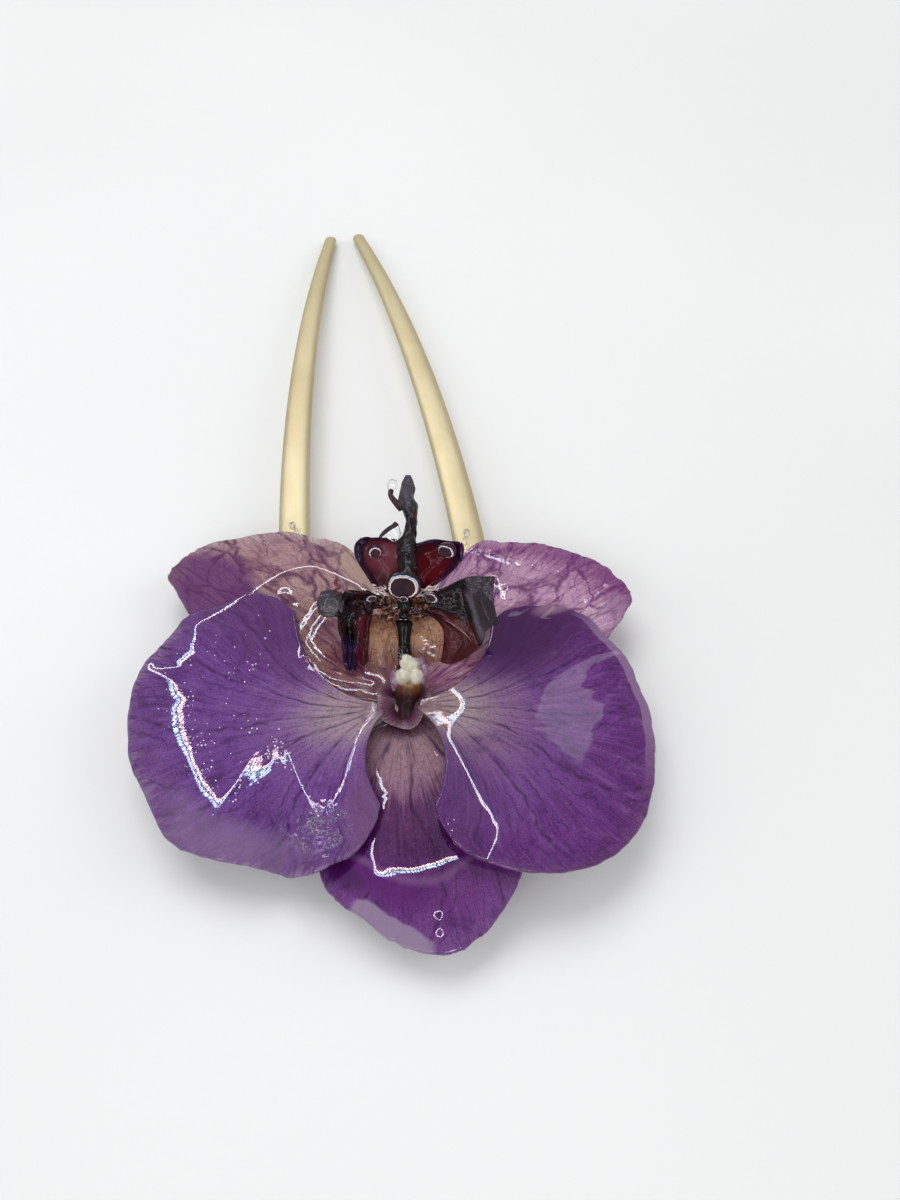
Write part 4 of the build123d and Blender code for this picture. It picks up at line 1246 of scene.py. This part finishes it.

# Fine bubbles set in the skin where the resin ran to the edge of the left pool. Each is a
# little dome of thin clear resin, coloured pale: partly the bubble's own whiteness, partly a
# painted glint.
bubble = mottled("bubble_skins_painted_glint", 900.0, [(0.3, 0.45, 0.33, 0.55), (0.7, 0.9, 0.84, 0.92)],
                 Roughness=0.1, Coat_Weight=1.0, Coat_Roughness=0.03)
random.seed(23)
domes = []
for step in range(190):
    bearing = random.choice((random.uniform(158, 258), random.uniform(258, 294)))
    radius = left_pool.rims[int(bearing)][0] - random.gauss(1.1, 1.3)
    if step % 4 == 0:
        bearing, radius = random.uniform(100, 260), random.uniform(4, 15)
    size = random.uniform(0.07, 0.17)
    x = left_pool.centre[0] + radius * cos(radians(bearing))
    y = left_pool.centre[1] + radius * sin(radians(bearing))
    domes.append(((x, y, petal_left_top(x, y, 0.5, 0.5) + 0.02), (size, size, size * 0.8), step,
                  0.1, 2))
bubbles = gathered("resin_bubbles", bubble, flower_place, lump, *domes)
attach(bubbles, "root")

# Drops of resin ran out on to the prongs, and two thin films hang at the tendrils: a web
# in the fork of the broken one and a loop at the hook's end.
spots = ((-15.4, 44.2, 6.3, 0.55), (-14.7, 43.0, 6.3, 0.4), (15.2, 38.6, 6.1, 0.6),
         (14.6, 37.0, 6.1, 0.42))
drops = gathered("resin_drops", clear, Matrix(), lump,
                 *[((x, y, z), (size, size * 1.3, size * 0.45), x, 0.2, 2)
                   for x, y, z, size in spots])
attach(drops, "root")


def film_lift(across, out):
    return (0, 0, 0.2 * sin(pi * out))


for name, first, second in (
        ("resin_web", [(-3.5, 23.7, 2.0), (-2.2, 24.8, 2.0), (-1.0, 25.6, 2.0)],
         [(-1.4, 22.5, 2.0), (-0.9, 23.2, 2.0), (-0.6, 24.0, 2.0)]),
        ("resin_loop", [(-2.6, 30.6, 2.0), (-2.8, 31.6, 2.0), (-2.2, 32.4, 2.0)],
         [(-1.8, 30.6, 2.0), (-1.2, 31.4, 2.0), (-1.4, 32.2, 2.0)])):
    film = ribbon(first, second, film_lift, clear, name, 10, 10, 0.3, 0.2)
    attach(film, "root")
